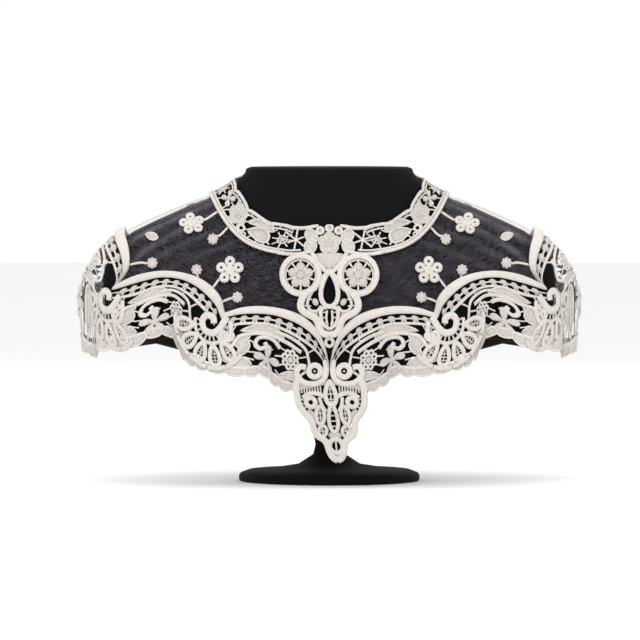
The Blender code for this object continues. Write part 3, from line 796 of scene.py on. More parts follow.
def petal_flower(petals, radius, width, start=0.0):
    drawing = Drawing()
    for petal in range(petals):
        eyelet_petal(drawing, 0.0, 0.0, start + 360.0 * petal / petals, radius, width)
    drawing.dome(0.0, 0.0, radius * 0.24, 2.2)
    return drawing


def second_tier(drawing, top, depth):
    """Flowers, leaves and bars that fill a deeper scallop between its first tier and its hem."""
    middle = 0.5 * (top + depth - 6.0)
    drawing.cord([(0.0, top), (STRIP_LENGTH / 2, top - 2.0), (STRIP_LENGTH, top)], 1.6)
    for x, turned in ((20.0, 0.0), (56.0, 36.0), (92.0, 0.0)):
        drawing.add(petal_flower(5, 14.0, 9.0, start=54.0 + turned), x, middle)
    for x in (38.0, 74.0):
        drawing.leaf([(x, top + 1.0), (x - 3.0, middle), (x, depth - 7.0)], 10.0, cord=0.9, veins=3)
    for x in (4.0, 30.0, 46.0, 66.0, 82.0, 108.0):
        drawing.tie((x, top), (x + 3.0, middle), 0.7)
        drawing.tie((x + 3.0, middle), (x, depth - 5.4), 0.7)
    for x in (12.0, 26.0, 50.0, 62.0, 86.0, 100.0):
        drawing.tie((x, middle + 9.0), (x, depth - 5.4), 0.7)
        drawing.tie((x, middle - 9.0), (x, top), 0.7)


def scallop_drawing(depth=STRIP_DEPTH):
    drawing = Drawing()
    length = STRIP_LENGTH
    if depth > STRIP_DEPTH:
        second_tier(drawing, STRIP_DEPTH - 5.0, depth)
    drawing.cord([(0.0, 3.8), (length / 2, 3.7), (length, 3.8)], 3.75, step=1.8)
    pitch = (BEAD_TO - BEAD_FROM) / (BEADS - 1)
    for bead in range(BEADS):
        x = BEAD_FROM + bead * pitch
        drawing.dome(x, 11.2, 3.1, 2.1, sides=10)
        drawing.tie((x, 11.2), (x - 1.6, 15.6), 0.75)
        drawing.tie((x, 11.2), (x + 1.6, 15.6), 0.75)
        drawing.tie((x, 11.6), (x + pitch, 11.6), 0.85)
    drawing.cord([(5.0, 18.0), (20.0, 16.6), (56.0, 16.4), (92.0, 16.6), (107.0, 18.0)], 1.35)
    drawing.cord([(30.0, 30.0), (38.0, 21.6), (56.0, 20.2), (66.0, 22.0)], 1.45)
    drawing.leaf([(57.0, 23.0), (70.0, 20.4), (80.0, 20.6), (92.0, 23.0)], 7.4, cord=0.8)
    inner_line = ((40.0, 26.0), (54.0, 25.2), (70.0, 26.0), (82.0, 25.8), (92.0, 28.0), (97.0, 36.0))
    drawing.cord(inner_line, 1.6, height=0.2)
    drawing.leaf([(84.0, 26.0), (91.0, 31.0), (88.0, 37.0), (93.0, 45.0)], 9.0, cord=0.8, veins=3)
    curl = (
        (58.0, 32.0), (66.0, 28.8), (77.0, 29.6), (79.5, 35.0), (75.0, 39.0), (70.0, 36.5), (72.0, 33.5),
    )
    drawing.cord(curl, 1.85)
    drawing.add(star_flower(), 47.0, 36.0, size=1.12)
    drawing.add(petal_flower(5, 13.4, 8.4, start=54.0), 68.0, 47.5)
    drawing.ring(100.0, 28.0, 3.0, 1.8, sides=12, height=0.2)
    drawing.cord([(30.0, 30.0), (27.0, 38.0), (33.0, 46.0), (30.0, 53.0)], 1.6)
    drawing.leaf([(30.0, 52.0), (41.0, 47.5), (53.0, 52.5)], 7.4, cord=0.8)
    drawing.leaf([(82.0, 51.5), (92.0, 48.5), (104.0, 47.0)], 7.0, cord=0.8)
    ties = (
        ((28.0, 16.4), (34.0, 24.0)), ((44.0, 16.4), (46.0, 20.5)), ((96.0, 16.4), (99.0, 25.0)),
        ((84.0, 16.4), (84.0, 19.0)), ((70.0, 16.4), (70.0, 19.0)), ((104.0, 17.5), (101.0, 25.0)),
        ((48.0, 25.0), (47.0, 29.0)), ((33.0, 27.0), (40.0, 31.0)), ((30.0, 38.0), (39.5, 36.5)),
        ((55.0, 37.0), (61.0, 40.0)), ((54.0, 31.5), (59.0, 31.5)), ((41.0, 42.0), (37.0, 47.0)),
        ((52.0, 42.0), (57.0, 46.0)), ((64.0, 37.0), (70.0, 35.0)), ((80.0, 34.0), (85.0, 31.0)),
        ((78.0, 42.0), (88.0, 40.0)), ((80.0, 48.0), (88.0, 45.0)), ((32.0, 46.0), (40.0, 44.0)),
        ((44.0, 44.0), (45.0, 49.0)), ((53.0, 52.0), (58.0, 50.0)), ((97.0, 36.0), (100.0, 31.0)),
        ((97.0, 36.0), (103.0, 46.0)), ((70.0, 25.0), (70.0, 29.0)), ((60.0, 25.0), (61.0, 30.0)),
    )
    for first, second in ties:
        drawing.tie(first, second, 0.65)
    lobe_length = length / HEM_LOBES
    for lobe in range(HEM_LOBES):
        x = lobe_length * (lobe + 0.5)
        hem_lobe(drawing, x, depth - 1.8, lobe_length * 0.53, 4.6)
    drawing.cord([(0.0, depth - 5.4), (length / 2, depth - 5.4), (length, depth - 5.4)], 1.35)
    return drawing


# %% [markdown]
# ## The fan where two scallops meet
#
# Below each valley between two ropes the rope's end curls round an eyelet. Under it is a half ring
# of radial bars, and five drops spread from it to the hem, each with a double corded edge and a net
# filling. A fan straddles two scallops, so it is laid as a patch round the valley.

# %% The fan, drawn about its hub
FAN_ANGLES = (22.0, 52.0, 82.0, 112.0, 142.0)
FAN_RING, FAN_PETAL_FROM, FAN_PETAL_LENGTH, FAN_PETAL_WIDTH = 15.0, 16.5, 16.5, 11.5


def fan_drawing():
    drawing = Drawing()
    drawing.cord(arc(0.0, 0.0, FAN_RING, 2.0, 180.0, 22), 1.6, height=0.2)
    for bar in range(10):
        angle = 2.0 + 19.5 * bar
        drawing.tie(reach(0.0, 0.0, 8.0, angle), reach(0.0, 0.0, FAN_RING, angle), 0.8)
    # The curled end of the outer rope, and the slimmer curl of the inner one.
    outer_curl = (
        (-11.0, -11.0), (-9.0, -1.0), (-4.5, 5.5), (3.5, 6.5), (8.0, 0.5), (6.0, -5.5), (0.0, -6.0),
        (-2.5, -2.0),
    )
    drawing.cord(outer_curl, 2.9, height=0.2)
    inner_curl = ((-15.0, -9.0), (-19.0, 0.0), (-17.5, 7.5), (-12.0, 8.5), (-10.5, 3.0), (-14.0, 1.0))
    drawing.cord(inner_curl, 2.0, height=0.1)
    for angle in FAN_ANGLES:
        start_x, start_y = reach(0.0, 0.0, FAN_PETAL_FROM, angle)
        petal = teardrop(start_x, start_y, angle, FAN_PETAL_LENGTH, FAN_PETAL_WIDTH, 18)
        drawing.cord(petal, 1.9, closed=True, height=0.4)
        inner = reach(0.0, 0.0, FAN_PETAL_FROM + 4.0, angle)
        drawing.tie(inner, reach(0.0, 0.0, FAN_PETAL_FROM + FAN_PETAL_LENGTH - 1.5, angle), 0.5)
        way = math.radians(angle)
        for share, half in ((0.42, 2.6), (0.58, 3.6), (0.74, 3.8)):
            centre_x, centre_y = reach(0.0, 0.0, FAN_PETAL_FROM + FAN_PETAL_LENGTH * share, angle)
            side_x, side_y = -half * math.sin(way), half * math.cos(way)
            drawing.tie((centre_x + side_x, centre_y + side_y), (centre_x - side_x, centre_y - side_y), 0.5)
        rim = arc(0.0, 0.0, FAN_PETAL_FROM + FAN_PETAL_LENGTH + 2.0, angle - 14.0, angle + 14.0, 6)
        drawing.cord(rim, 1.9, height=0.1)
    return drawing


# %% Lay the border
SCALLOP = scallop_drawing()
FAN = fan_drawing()


# The fans' hubs, seen from the front. A back fan lies behind the front one.
FAN_HUBS = ((100.0, 137.5), (187.5, 156.0))


def fan_piece(name, which, behind, mirror):
    turn, down = (float(value[0]) for value in seen_from_front(*FAN_HUBS[which]))
    fan = FAN
    if behind:
        fan = Drawing()
        fan.add(FAN, flip=-1.0)
        turn = 180.0 - turn
    return lay(name, fan, patch(turn, down), base=LACE_BASE + 0.5, mirror=mirror)


SHOULDER_DEPTH = 108.0
SHOULDER_SCALLOP = scallop_drawing(SHOULDER_DEPTH)


def border_piece(name, indexes, mirror, behind=None):
    drawing, depth = (SHOULDER_SCALLOP, SHOULDER_DEPTH) if behind is None else (SCALLOP, STRIP_DEPTH)
    pieces = []
    for index in indexes:
        mapping = strip(SCALLOPS[index], depth)
        pieces.append(lay(f"{name}_{index}", drawing, mapping, mirror=mirror))
    if behind is not None:
        pieces += [fan_piece(f"{name}_fan_{which}", which, behind, mirror) for which in (0, 1)]
    return joined(name, pieces)


BORDER_LENGTHS = (("front", (0, 1), False), ("shoulder", (2,), None), ("back", (3, 4), True))
BORDERS = {}
for side, mirror in (("right", False), ("left", True)):
    for where, indexes, behind in BORDER_LENGTHS:
        piece = border_piece(f"lace_border_{where}_{side}", indexes, mirror, behind)
        finish_piece(piece, "lace", f"border_{where}_{side}")
        BORDERS[where, side] = piece
        print(piece.name, "triangles", sum(len(face.vertices) - 2 for face in piece.data.polygons))

# %% [markdown]
# ## The centre motif
#
# A rose sits on the neckband. Below it two ring petals, each with a five-petalled flower on bars,
# flank a long drop-shaped opening, and a pear of looped cords hangs to the meeting of the ropes.

# %% Rose, ring petals and pear
def rose(radius=10.5):
    drawing = Drawing()
    for petal in range(5):
        angle = 72.0 * petal + 18.0
        x, y = reach(0.0, 0.0, radius * 0.62, angle)
        outline = oval(x, y, radius * 0.38, radius * 0.46, angle, 12)
        drawing.pad(outline, 1.3)
        drawing.cord(outline, 0.55, closed=True, smooth=False, height=0.5)
    for petal in range(4):
        angle = 90.0 * petal + 45.0
        x, y = reach(0.0, 0.0, radius * 0.26, angle)
        drawing.pad(oval(x, y, radius * 0.2, radius * 0.24, angle, 9), 1.1, base=1.0)
    drawing.dome(0.0, 0.0, radius * 0.16, 0.9, base=1.7)
    return drawing


def centre_drawing():
    drawing = Drawing()
    drawing.add(rose(9.4), 0.0, 205.5)
    cloth = (
        (14.5, 196.0), (6.0, 197.5), (-6.0, 197.5), (-14.5, 196.0), (-10.5, 190.0), (-5.0, 184.5),
        (0.0, 183.0), (5.0, 184.5), (10.5, 190.0),
    )
    drawing.pad(reversed(cloth), 1.5)
    for x, y in ((0.0, 218.6), (7.6, 216.2), (-7.6, 216.2)):
        drawing.ring(x, y, 2.5, 1.35, height=0.2)
        drawing.dome(x, y, 1.2, 1.2)
    pear_edge = (
        (19.0, 164.0), (22.5, 159.5), (24.1, 155.0), (24.0, 151.2), (21.6, 148.2), (18.0, 146.0),
        (12.4, 143.0), (9.6, 138.8), (8.2, 133.8), (5.4, 130.2), (0.0, 128.6),
    )
    wing_loop = (
        (3.0, 178.0), (9.5, 171.0), (15.5, 163.0), (18.6, 155.0), (16.0, 149.5), (10.5, 149.0),
        (7.0, 153.0),
    )
    over_rose = ((33.0, 218.8), (24.0, 218.2), (17.0, 218.8), (9.0, 220.8))
    over_wheel = ((44.0, 196.6), (34.0, 195.4), (25.0, 195.6), (14.0, 198.0))
    rose_side = ((14.5, 196.0), (10.5, 189.0), (5.0, 183.0), (0.0, 179.6))
    wheel_side = ((1.5, 181.0), (6.0, 176.0), (8.8, 171.0), (12.5, 166.0))
    inner_pear = ((0.0, 152.6), (6.4, 150.6), (7.2, 144.6), (5.6, 138.0), (0.0, 133.6))
    for sign in (1.0, -1.0):
        for x, y, tilt in ((15.0, 211.5, 60.0), (15.8, 202.5, 110.0)):
            outline = oval(sign * x, y, 6.2, 4.9, 90.0 + sign * (tilt - 90.0), 14)
            drawing.pad(outline, 1.2)
            drawing.cord(outline, 0.75, closed=True, smooth=False, height=0.4)
            for vein in (-1.8, 0.0, 1.8):
                drawing.tie((sign * x + vein, y - 3.2), (sign * x + vein * 1.2, y + 3.2), 0.35)
        drawing.cord(on_side(sign, over_rose), 1.5)
        drawing.cord(on_side(sign, over_wheel), 1.6, height=0.2)
        drawing.cord([(sign * 42.0, 199.8), (sign * 34.0, 198.8), (sign * 24.0, 199.2)], 0.9)
        for spoke in range(6):
            angle = 60.0 * spoke + 20.0
            hub = (sign * 28.0, 208.0)
            drawing.tie(hub, reach(*hub, 10.0 if spoke % 3 else 7.5, angle), 0.8)
        x, y = sign * 24.2, 178.2
        drawing.ring(x, y, 15.6, 2.3, sides=28, height=0.2)
        drawing.ring(x, y, 12.8, 0.8, sides=22)
        for petal in range(5):
            angle = 72.0 * petal + 90.0
            petal_x, petal_y = reach(x, y, 7.0, angle)
            drawing.dome(petal_x, petal_y, 4.0, 2.2, sides=12)
            drawing.tie((petal_x, petal_y), reach(x, y, 13.2, angle), 0.8)
            drawing.tie((x, y), reach(x, y, 13.2, angle + 36.0), 0.8)
        drawing.dome(x, y, 3.8, 2.6)
        drawing.cord(on_side(sign, rose_side), 1.9, height=0.3)
        drawing.cord(on_side(sign, wheel_side), 1.5, height=0.2)
        drawing.cord(on_side(sign, pear_edge), 3.0, height=0.1)
        drawing.cord(on_side(sign, wing_loop), 1.25, height=0.2)
        drawing.cord(on_side(sign, inner_pear), 1.7, height=0.3)
        drawing.pad(oval(sign * 11.8, 156.5, 3.4, 2.6, 60.0 * sign), 1.4)
        drawing.pad(oval(sign * 12.6, 147.0, 3.6, 1.8, 20.0 * sign), 1.2)
        drawing.cord([(sign * 2.0, 149.5), (sign * 2.6, 143.0), (sign * 1.6, 137.0)], 1.0)
        for height in (148.0, 143.6, 139.4):
            drawing.tie((sign * 2.0, height), (sign * 6.6, height), 0.6)
            drawing.tie((sign * 7.0, height - 0.5), (sign * 13.5, height + 1.5), 0.7)
        drawing.tie((sign * 15.5, 153.0), (sign * 22.5, 153.5), 0.7)
        drawing.tie((sign * 14.8, 158.5), (sign * 21.5, 160.0), 0.7)
    drawing.cord(teardrop(0.0, 181.5, -90.0, 29.0, 18.0, 20), 2.0, closed=True, height=0.3)
    drawing.ring(0.0, 122.8, 3.3, 1.45, height=0.4)
    return drawing


centre = lay("lace_centre_motif", centre_drawing(), front_view, base=LACE_BASE + 0.9)
finish_piece(centre, "lace", "centre_motif")

# %% [markdown]
# ## The pointed tip
#
# The tip hangs from the meeting of the two inner scallops: a ladder arch, a net-filled drop, a curl
# with an eyelet on each side, three small drops and an oval at the point.

# %% Tip
TIP_LEAN, LEAN_FROM = 0.11, 88.0


def leaning_view(x, y):
    """The front view, with the tip hanging a little to one side."""
    return seen_from_front(x + TIP_LEAN * np.maximum(LEAN_FROM - y, 0.0), y)


def tip_drawing():
    drawing = Drawing()
    edge = (
        (26.0, 92.5), (28.4, 86.0), (28.3, 78.0), (27.4, 70.5), (23.5, 63.5), (18.6, 57.5), (17.4, 51.0),
        (15.2, 45.4), (10.0, 41.6), (7.4, 37.6), (6.0, 31.0), (3.4, 26.0), (0.0, 23.8),
    )
    rope_end = (
        (3.2, 108.0), (2.8, 100.0), (4.6, 92.5), (11.0, 88.4), (19.5, 88.6), (25.6, 92.6), (27.6, 98.0),
        (24.5, 102.6), (19.8, 101.8),
    )
    drawing.dome(0.0, 25.0, 3.2, 2.2, base=0.2)
    for sign in (1.0, -1.0):
        drawing.cord(on_side(sign, edge), 2.9, height=0.1)
        drawing.cord([(sign * x, y) for x, y in rope_end], 2.5, height=0.2)
        drawing.ring(sign * 12.4, 98.9, 5.0, 2.4, sides=18, height=0.3)
        drawing.dome(sign * 12.4, 98.9, 1.2, 1.2)
        for bar in range(8):
            x = sign * (8.0 + 2.3 * bar)
            drawing.tie((x, 80.5), (x, 86.5), 0.7)
        brow = ((5.6, 77.6), (11.0, 80.0), (18.0, 80.0), (23.6, 76.5))
        drawing.cord(on_side(sign, brow), 1.9, height=0.2)
        drawing.ring(sign * 17.4, 72.7, 3.9, 2.05, sides=16, height=0.4)
        for angle in (-10.0, -40.0, -70.0, 20.0):
            outward = 90.0 - sign * (90.0 - angle)
            eye = (sign * 17.4, 72.7)
            drawing.tie(reach(*eye, 5.4, outward), reach(*eye, 9.0, outward), 0.8)
        drawing.cord([(sign * 9.6, 77.0), (sign * 8.6, 71.0), (sign * 5.6, 65.0)], 1.6, height=0.2)
        drawing.cord(oval(sign * 10.6, 61.8, 7.6, 3.5, 90.0 + sign * 6.0, 16), 1.7, closed=True, height=0.3)
        drawing.tie((sign * 10.6, 67.5), (sign * 10.6, 56.5), 0.6)
        drawing.tie((sign * 8.0, 63.5), (sign * 13.2, 63.5), 0.6)
        drawing.tie((sign * 8.0, 59.5), (sign * 13.2, 59.5), 0.6)
        drawing.pad(oval(sign * 17.6, 62.6, 5.2, 2.6, 90.0 - sign * 30.0), 1.6)
        drawing.cord(oval(sign * 10.0, 48.6, 4.6, 3.4, 70.0, 12), 1.5, closed=True, height=0.2)
        drawing.tie((sign * 6.5, 48.6), (sign * 13.5, 48.6), 0.6)
        drawing.tie((sign * 10.0, 52.0), (sign * 10.0, 45.0), 0.6)
    drawing.cord(teardrop(0.0, 90.4, -90.0, 20.0, 11.0, 18), 1.9, closed=True, height=0.4)
    for height in (84.0, 79.6, 75.2):
        drawing.tie((-3.8, height), (3.8, height), 0.6)
    drawing.tie((0.0, 88.0), (0.0, 72.5), 0.6)
    drawing.cord(teardrop(0.0, 72.8, -90.0, 25.0, 9.4, 18), 1.7, closed=True, height=0.3)
    for height in (66.0, 61.5, 57.0, 52.5):
        drawing.tie((-3.4, height), (3.4, height), 0.6)
    drawing.pad(oval(0.0, 45.0, 6.0, 3.4), 1.7)
    drawing.cord(oval(0.0, 36.0, 6.0, 5.6, 90.0, 18), 2.1, closed=True, height=0.3)
    drawing.tie((0.0, 42.0), (0.0, 30.5), 0.8)
    drawing.pad(oval(0.0, 27.0, 4.8, 4.6), 1.8)
    return drawing


tip = lay("lace_tip", tip_drawing(), leaning_view)
finish_piece(tip, "lace", "tip_drop")

# %% [markdown]
# ## The neckband
#
# The band is narrow needle lace. Its upper edge has round lobes, a double cord closes it below,
# and between them lie wheels of bars, pairs of veined leaves and roses. One repeat is drawn and set
# round the neck.

# %% Neckband
BAND_WIDTHS = {"front": 32.0, "side": 26.0, "back": 25.0}
BAND_FLAT, REPEAT_LENGTH = 30.0, 86.0
BAND_LENGTH = 230.0
BAND_FIRST_TURN = 21.0


def band_width(turn):
    share = np.cos(np.radians(turn))
    end = np.where(share > 0.0, BAND_WIDTHS["front"], BAND_WIDTHS["back"])
    return BAND_WIDTHS["side"] + (end - BAND_WIDTHS["side"]) * share**2


def band(x, y):
    """The mapping of the neckband's straight strip."""
    turn = BAND_FIRST_TURN + (BACK_EDGE - BAND_FIRST_TURN) * x / BAND_LENGTH
    return place_at(turn, np.maximum(band_width(turn) * y / BAND_FLAT, 0.0))


def wheel(radius=9.0):
    drawing = Drawing()
    for spoke in range(8):
        angle = 45.0 * spoke
        drawing.tie((0.0, 0.0), reach(0.0, 0.0, radius, angle), 0.6)
    drawing.ring(0.0, 0.0, radius * 0.45, 0.6)
    drawing.dome(0.0, 0.0, 1.8, 1.6)
    return drawing


def band_repeat():
    drawing = Drawing()
    drawing.add(wheel(), 6.0, 14.5)
    drawing.leaf([(17.0, 20.5), (27.0, 15.0), (39.0, 17.5)], 12.4, cord=1.1, veins=5)
    drawing.leaf([(17.0, 9.0), (24.0, 5.5), (35.0, 6.0), (44.0, 11.5)], 7.4, cord=0.9, veins=3)
    drawing.add(rose(10.2), 56.0, 13.5)
    drawing.ring(45.0, 20.4, 3.0, 1.25)
    drawing.ring(39.5, 23.4, 1.8, 0.8)
    drawing.add(petal_flower(4, 8.5, 6.8, start=45.0), 75.0, 13.5)
    ties = (
        ((14.0, 6.0), (17.0, 9.0)), ((14.0, 22.0), (19.0, 19.0)), ((26.0, 19.5), (26.0, 25.0)),
        ((33.0, 20.0), (35.0, 25.0)), ((20.0, 21.0), (18.0, 25.0)), ((38.0, 17.0), (43.0, 19.0)),
        ((43.0, 11.0), (47.0, 13.0)), ((50.0, 21.0), (47.0, 25.0)), ((60.0, 22.0), (60.0, 25.0)),
        ((56.0, 23.0), (54.0, 25.0)), ((48.0, 7.0), (44.0, 4.0)), ((64.0, 8.0), (66.0, 4.0)),
        ((65.0, 18.0), (68.0, 24.0)), ((66.0, 13.0), (70.0, 13.0)), ((79.0, 18.0), (82.0, 25.0)),
        ((70.0, 19.0), (70.0, 25.0)), ((79.0, 9.0), (83.0, 4.0)), ((70.0, 8.0), (70.0, 4.0)),
        ((58.0, 4.0), (58.0, 5.5)), ((52.0, 4.5), (51.0, 6.5)),
    )
    for first, second in ties:
        drawing.tie(first, second, 0.7)
    return drawing


def band_drawing():
    drawing = Drawing()
    length = BAND_LENGTH
    for repeat in range(3):
        one = band_repeat()
        if repeat == 2:
            one.cords = [cord for cord in one.cords if max(point[0] for point in cord[0]) < 55.0]
            one.pads = [pad for pad in one.pads if max(point[0] for point in pad[0]) < 55.0]
        drawing.add(one, repeat * REPEAT_LENGTH, 0.0)
    drawing.cord([(0.0, 28.2), (length / 2, 28.2), (length, 28.2)], 1.85, height=0.2)
    drawing.cord([(0.0, 25.0), (length / 2, 25.0), (length, 25.0)], 1.25)
    lobes = 9
    edge = []
    for step in range(lobes * 8 + 1):
        dip = 1.0 - abs(math.sin(math.pi * step / 8.0)) ** 0.7
        edge.append((length * step / (lobes * 8), 1.2 + 2.6 * dip))
    drawing.cord(edge, 1.6, smooth=False, height=0.1)
    drawing.cord([(x, y + 3.4) for x, y in edge], 0.8, smooth=False)
    for x, y in edge[::2]:
        drawing.tie((x, y), (x, y + 3.0), 0.45)
    drawing.cord([(length - 1.0, 2.0), (length - 1.0, 28.0)], 1.2)
    return drawing


BAND = band_drawing()
NECKBANDS = {}
for side, mirror in (("right", False), ("left", True)):
    piece = lay(f"lace_neckband_{side}", BAND, band, base=LACE_BASE + 0.2, mirror=mirror)
    finish_piece(piece, "lace", f"neckband_{side}")
    NECKBANDS[side] = piece

# %% [markdown]
# ## Flowers, dots and stems on the net
#
# These are worked apart and sewn on the net. Each flower has five corded petals round a tiny
# eyelet, and a dot is a small dome of stitches. They are placed by the front view, and the ones on
# the back lie behind their twins.

# %% Applied pieces
def applied_flower(radius, start, tall):
    drawing = Drawing()
    for petal in range(5):
        angle = math.radians(72.0 * petal + start)
        x, y = 0.62 * radius * math.cos(angle), 0.62 * radius * math.sin(angle)
        drawing.cord([(0.0, 0.0), (x * 0.55, y * 0.55)], radius * 0.17, height=0.3)
        drawing.ring(x, y, radius * 0.225, radius * 0.145, sides=12, height=0.2)
    drawing.dome(0.0, 0.0, radius * 0.26, 2.4, base=0.3)
    for part in drawing.cords:
        part[0][:] = [(x, y * tall) for x, y in part[0]]
    return drawing


def applied_dot(radius=4.7):
    drawing = Drawing()
    drawing.dome(0.0, 0.0, radius * 0.86, 2.4, sides=14)
    for bump in range(8):
        angle = 45.0 * bump
        x, y = reach(0.0, 0.0, radius * 0.72, angle)
        drawing.dome(x, y, radius * 0.3, 1.4, sides=7, base=0.9)
    return drawing


def applied_leaf():
    drawing = Drawing()
    drawing.leaf([(-5.5, -1.5), (0.0, 0.0), (5.5, 1.5)], 6.0)
    return drawing


# Each applied piece seen from the front: name, drawing, x, height, and where its stem ends.
APPLIED = (
    ("yoke_flower", applied_flower(12.4, 90.0, 0.95), 84.7, 182.5, 99.8, 167.6),
    ("shoulder_flower", applied_flower(11.4, 78.0, 0.78), 117.6, 221.5, 95.6, 232.0),
    ("lower_dot", applied_dot(), 78.1, 160.4, 91.0, 156.8),
    ("rope_dot", applied_dot(), 113.0, 182.9, 111.8, 177.0),
    ("upper_dot", applied_dot(), 99.7, 208.4, 87.0, 218.5),
    ("side_dot", applied_dot(), 151.0, 188.4, 171.0, 187.0),
    ("side_leaf", applied_leaf(), 152.0, 211.0, None, None),
)
STEM_RADIUS = 1.0


def placed_motif(motif, x, height, stem_x, stem_height):
    """A motif at its place in the front view, with a slightly bent stem."""
    drawing = Drawing()
    drawing.add(motif, x, height)
    if stem_x is not None:
        way = (stem_x - x, stem_height - height)
        bend = (x + way[0] * 0.5 - way[1] * 0.06, height + way[1] * 0.5 + way[0] * 0.06)
        drawing.cord([(x + way[0] * 0.2, height + way[1] * 0.2), bend, (stem_x, stem_height)], STEM_RADIUS)
    return drawing


def behind_view(x, y):
    turn, down = seen_from_front(x, y)
    return 180.0 - turn, down


APPLIED_PIECES = []
for name, *place in APPLIED:
    drawing = placed_motif(*place)
    for where, view in (("front", front_view), ("back", behind_view)):
        for side, mirror in (("right", False), ("left", True)):
            piece = lay(f"applied_{name}_{where}_{side}", drawing, view, base=0.7, mirror=mirror)
            finish_piece(piece, "lace", f"{name}_{where}_{side}")
            APPLIED_PIECES.append(piece)

# %% [markdown]
# ## The net yoke
#
# The net is one thin sheet for the front and one for each side of the back. It is pulled over the
# shoulders, so it has long soft wrinkles that run from the neckband to the rope. The sheet is a
# grid between the neckband and the rope's edge, and the wrinkles are gentle rises of the grid. Where
# the net is folded it looks paler and denser, and along the shoulder ridge, where it is seen edge-on,
# a pale sheen is painted into its colour and cover as well. Each point keeps how much of this it has.

# %% Net panels
SEAM_TURN = 96.0
NET_BASE = 0.25
# Wrinkles: turn at the neckband, turn at the rope, height in mm, width in degrees, how pale (partly real
# folds, partly painted sheen).
WRINKLES = (
    (8.0, 20.0, 0.8, 1.6, 0.03), (24.0, 29.0, 0.9, 1.5, 0.05), (33.0, 46.0, 0.7, 2.0, 0.04),
    (48.0, 52.0, 1.0, 1.6, 0.10), (60.0, 57.0, 0.8, 1.5, 0.14), (70.0, 62.0, 1.0, 2.2, 0.22),
    (77.0, 73.0, 1.4, 2.4, 0.30), (87.0, 86.0, 2.4, 5.0, 0.75), (112.0, 118.0, 0.9, 2.4, 0.10),
    (128.0, 124.0, 0.7, 2.0, 0.06), (141.0, 149.0, 0.9, 2.2, 0.04), (158.0, 160.0, 0.8, 2.4, 0.04),
    (171.0, 167.0, 0.6, 2.0, 0.03),
)


# The net is cut away behind the centre motif, inside these circles: x, height, radius.
CUT_CIRCLES = (
    (24.2, 178.2, 14.6), (0.0, 166.0, 9.5), (9.0, 152.0, 11.0), (0.0, 140.0, 8.0), (0.0, 112.0, 6.0),
)


def cut_behind_motif(turn, down):
    """1 where the net is cut away, and 0 elsewhere."""
    points = bare_points(turn, down)
    away = np.zeros(len(turn), bool)
    for x, height, radius in CUT_CIRCLES:
        away |= np.hypot(np.abs(points[:, 0]) - x, points[:, 2] - height) < radius
    return np.where(away & (points[:, 1] < 0.0), 1.0, 0.0)


def rope_down(turn):
    """How far down the rope's edge lies at each turn."""
    turns, downs = [], []
    for rope, _ in SCALLOPS:
        line = curve_values(rope, np.linspace(0.0, len(rope) - 1.0, 40))
        turns += list(line[:, 0])
        downs += list(line[:, 1])
    order = np.argsort(turns)
    return np.interp(np.abs(turn), np.array(turns)[order], np.array(downs)[order])


ROWS_OF_NET = 26


def net_panel(name, first, last, columns, rows=ROWS_OF_NET):
    turns = np.linspace(first, last, columns + 1)
    tops = place_at(turns, band_width(turns) - 5.0)[1]
    lows = rope_down(turns) + 5.0 / MM_PER_ROW
    share = np.linspace(0.0, 1.0, rows + 1)
    turn = np.repeat(turns[:, None], rows + 1, axis=1)
    down = tops[:, None] + (lows - tops)[:, None] * share[None, :]
    rise, fold_and_sheen = np.zeros_like(turn), np.zeros_like(turn)
    swell = np.sin(math.pi * share[None, :]) ** 0.6
    for start, stop, height, width, pale in WRINKLES:
        centre = start + (stop - start) * share[None, :]
        ridge = np.exp(-(((np.abs(turn) - centre) / width) ** 2))
        rise += height * ridge * swell
        # The paleness summed here is partly real folds and partly painted sheen, strongest along the
        # shoulder ridge where the net is seen edge-on.
        fold_and_sheen += pale * ridge * (0.8 + 0.2 * np.sin(share[None, :] * 17.0 + start))
    points = body_points(turn.ravel(), down.ravel(), (NET_BASE + rise).ravel())
    faces = []
    for column in range(columns):
        for row in range(rows):
            corner = column * (rows + 1) + row
            faces.append((corner, corner + 1, corner + rows + 2, corner + rows + 1))
    mesh = bpy.data.meshes.new(name)
    mesh.from_pydata(points.tolist(), [], faces)
    mesh.materials.append(NET)
    layer = mesh.uv_layers.new(name="flat")
    flat = np.stack((turn.ravel() * 2.4 * 0.01, down.ravel() * MM_PER_ROW * 0.01), axis=1)
    corners = np.empty(len(mesh.loops), dtype=int)
    mesh.loops.foreach_get("vertex_index", corners)
    layer.data.foreach_set("uv", flat[corners].ravel())
    away = cut_behind_motif(turn.ravel(), down.ravel())
    for attribute, values in (("fold_and_sheen", np.clip(fold_and_sheen, 0.0, 1.0).ravel()), ("cut_away", away)):
        mesh.attributes.new(attribute, "FLOAT", "POINT").data.foreach_set("value", values)
    mesh.update()
    piece = bpy.data.objects.new(name, mesh)
    bpy.context.collection.objects.link(piece)
    select_only(piece)
    bpy.ops.object.shade_smooth()
    return piece


NETS = {
    "net_front": net_panel("yoke_net_front", -SEAM_TURN, SEAM_TURN, 192),
    "net_back_right": net_panel("yoke_net_back_right", SEAM_TURN + 0.2, BACK_EDGE, 70),
    "net_back_left": net_panel("yoke_net_back_left", -BACK_EDGE, -SEAM_TURN - 0.2, 70),
}
for node_name, piece in NETS.items():
    finish_piece(piece, "net", node_name)

# %% [markdown]
# ## The bust
#
# The bust's solid already has its shape. A copy is merged and smoothed, because the solid is made
# of flat facets, and gets the flocked cover. The foot is turned wood under the same cover.

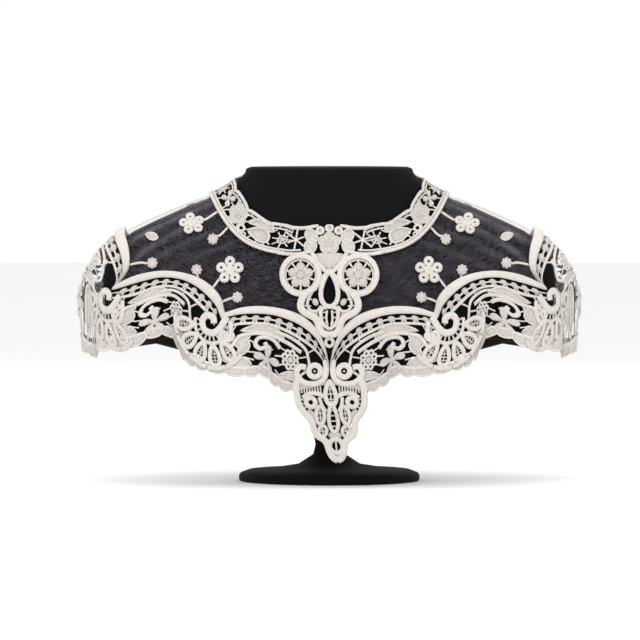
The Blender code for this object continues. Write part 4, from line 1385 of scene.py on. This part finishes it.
# %% Smooth copies of the bust and the foot
def smooth_copy(node_name, name, angle):
    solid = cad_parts[node_name]
    copy = solid.copy()
    copy.data = solid.data.copy()
    copy.name = name
    bpy.context.collection.objects.link(copy)
    select_only(copy)
    bpy.ops.object.mode_set(mode="EDIT")
    bpy.ops.mesh.select_all(action="SELECT")
    bpy.ops.mesh.remove_doubles(threshold=0.00001)
    bpy.ops.object.mode_set(mode="OBJECT")
    bpy.ops.object.shade_smooth_by_angle(angle=math.radians(angle))
    copy.data.materials.clear()
    copy.data.materials.append(VELVET)
    finish_piece(copy, "display", node_name)
    return copy


bust = smooth_copy("display_bust", "velvet_bust", 50.0)
smooth_copy("display_foot", "velvet_foot", 40.0)

# %% [markdown]
# ## Buttons and their loops
#
# Two domed buttons close the collar at the centre back. They keep the solids' shape and get a
# pearly finish. A thread loop from the other side of the opening goes round each.

# %% Buttons and thread loops
def pearl_material():
    material, tree, shader = new_material("pearl_button", 0.32, 0.0)
    place = node(tree, "ShaderNodeTexCoord", output=3)
    lustre = noise(tree, place, 180.0)
    feed(shader, "Base Color", mix_colour(tree, lustre, (0.70, 0.65, 0.57), (0.82, 0.78, 0.72)))
    shader.inputs["Coat Weight"].default_value = 0.4
    return material


PEARL = pearl_material()
LOOP = ((3.0, -2.2), (-4.0, -4.6), (-10.6, -3.4), (-11.6, 0.0), (-10.6, 3.4), (-4.0, 4.6), (3.0, 2.2))
for name, length in (("upper", 6.0), ("lower", 21.0)):
    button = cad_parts[f"button_{name}"]
    button.data.materials.clear()
    button.data.materials.append(PEARL)
    loop_drawing = Drawing()
    loop_drawing.cord(LOOP, 0.75)
    down = float(place_at(BACK_EDGE, length)[1][0])
    loop = lay(f"thread_loop_{name}", loop_drawing, patch(BACK_EDGE, down), base=LACE_BASE + 2.6)
    finish_piece(loop, "lace")

# %% [markdown]
# ## The lace with each net panel
#
# The net starts flat: each panel is cut, then bent over the shoulders. They are fixed numbers and
# aren't measured here. The lace is raised needlework, cords over cords, whose surface is far more
# than its cut. So it isn't a sheet by itself, and each length of it is listed with the net panel
# that it is sewn to.


front_lace = [centre, tip, *NECKBANDS.values()]
front_lace += [piece for (where, _), piece in BORDERS.items() if where != "back"]
front_lace += [piece for piece in APPLIED_PIECES if "_front_" in piece.name]
for side in ("right", "left"):
    back_lace = [BORDERS["back", side]]
    back_lace += [piece for piece in APPLIED_PIECES if piece.name.endswith(f"_back_{side}")]
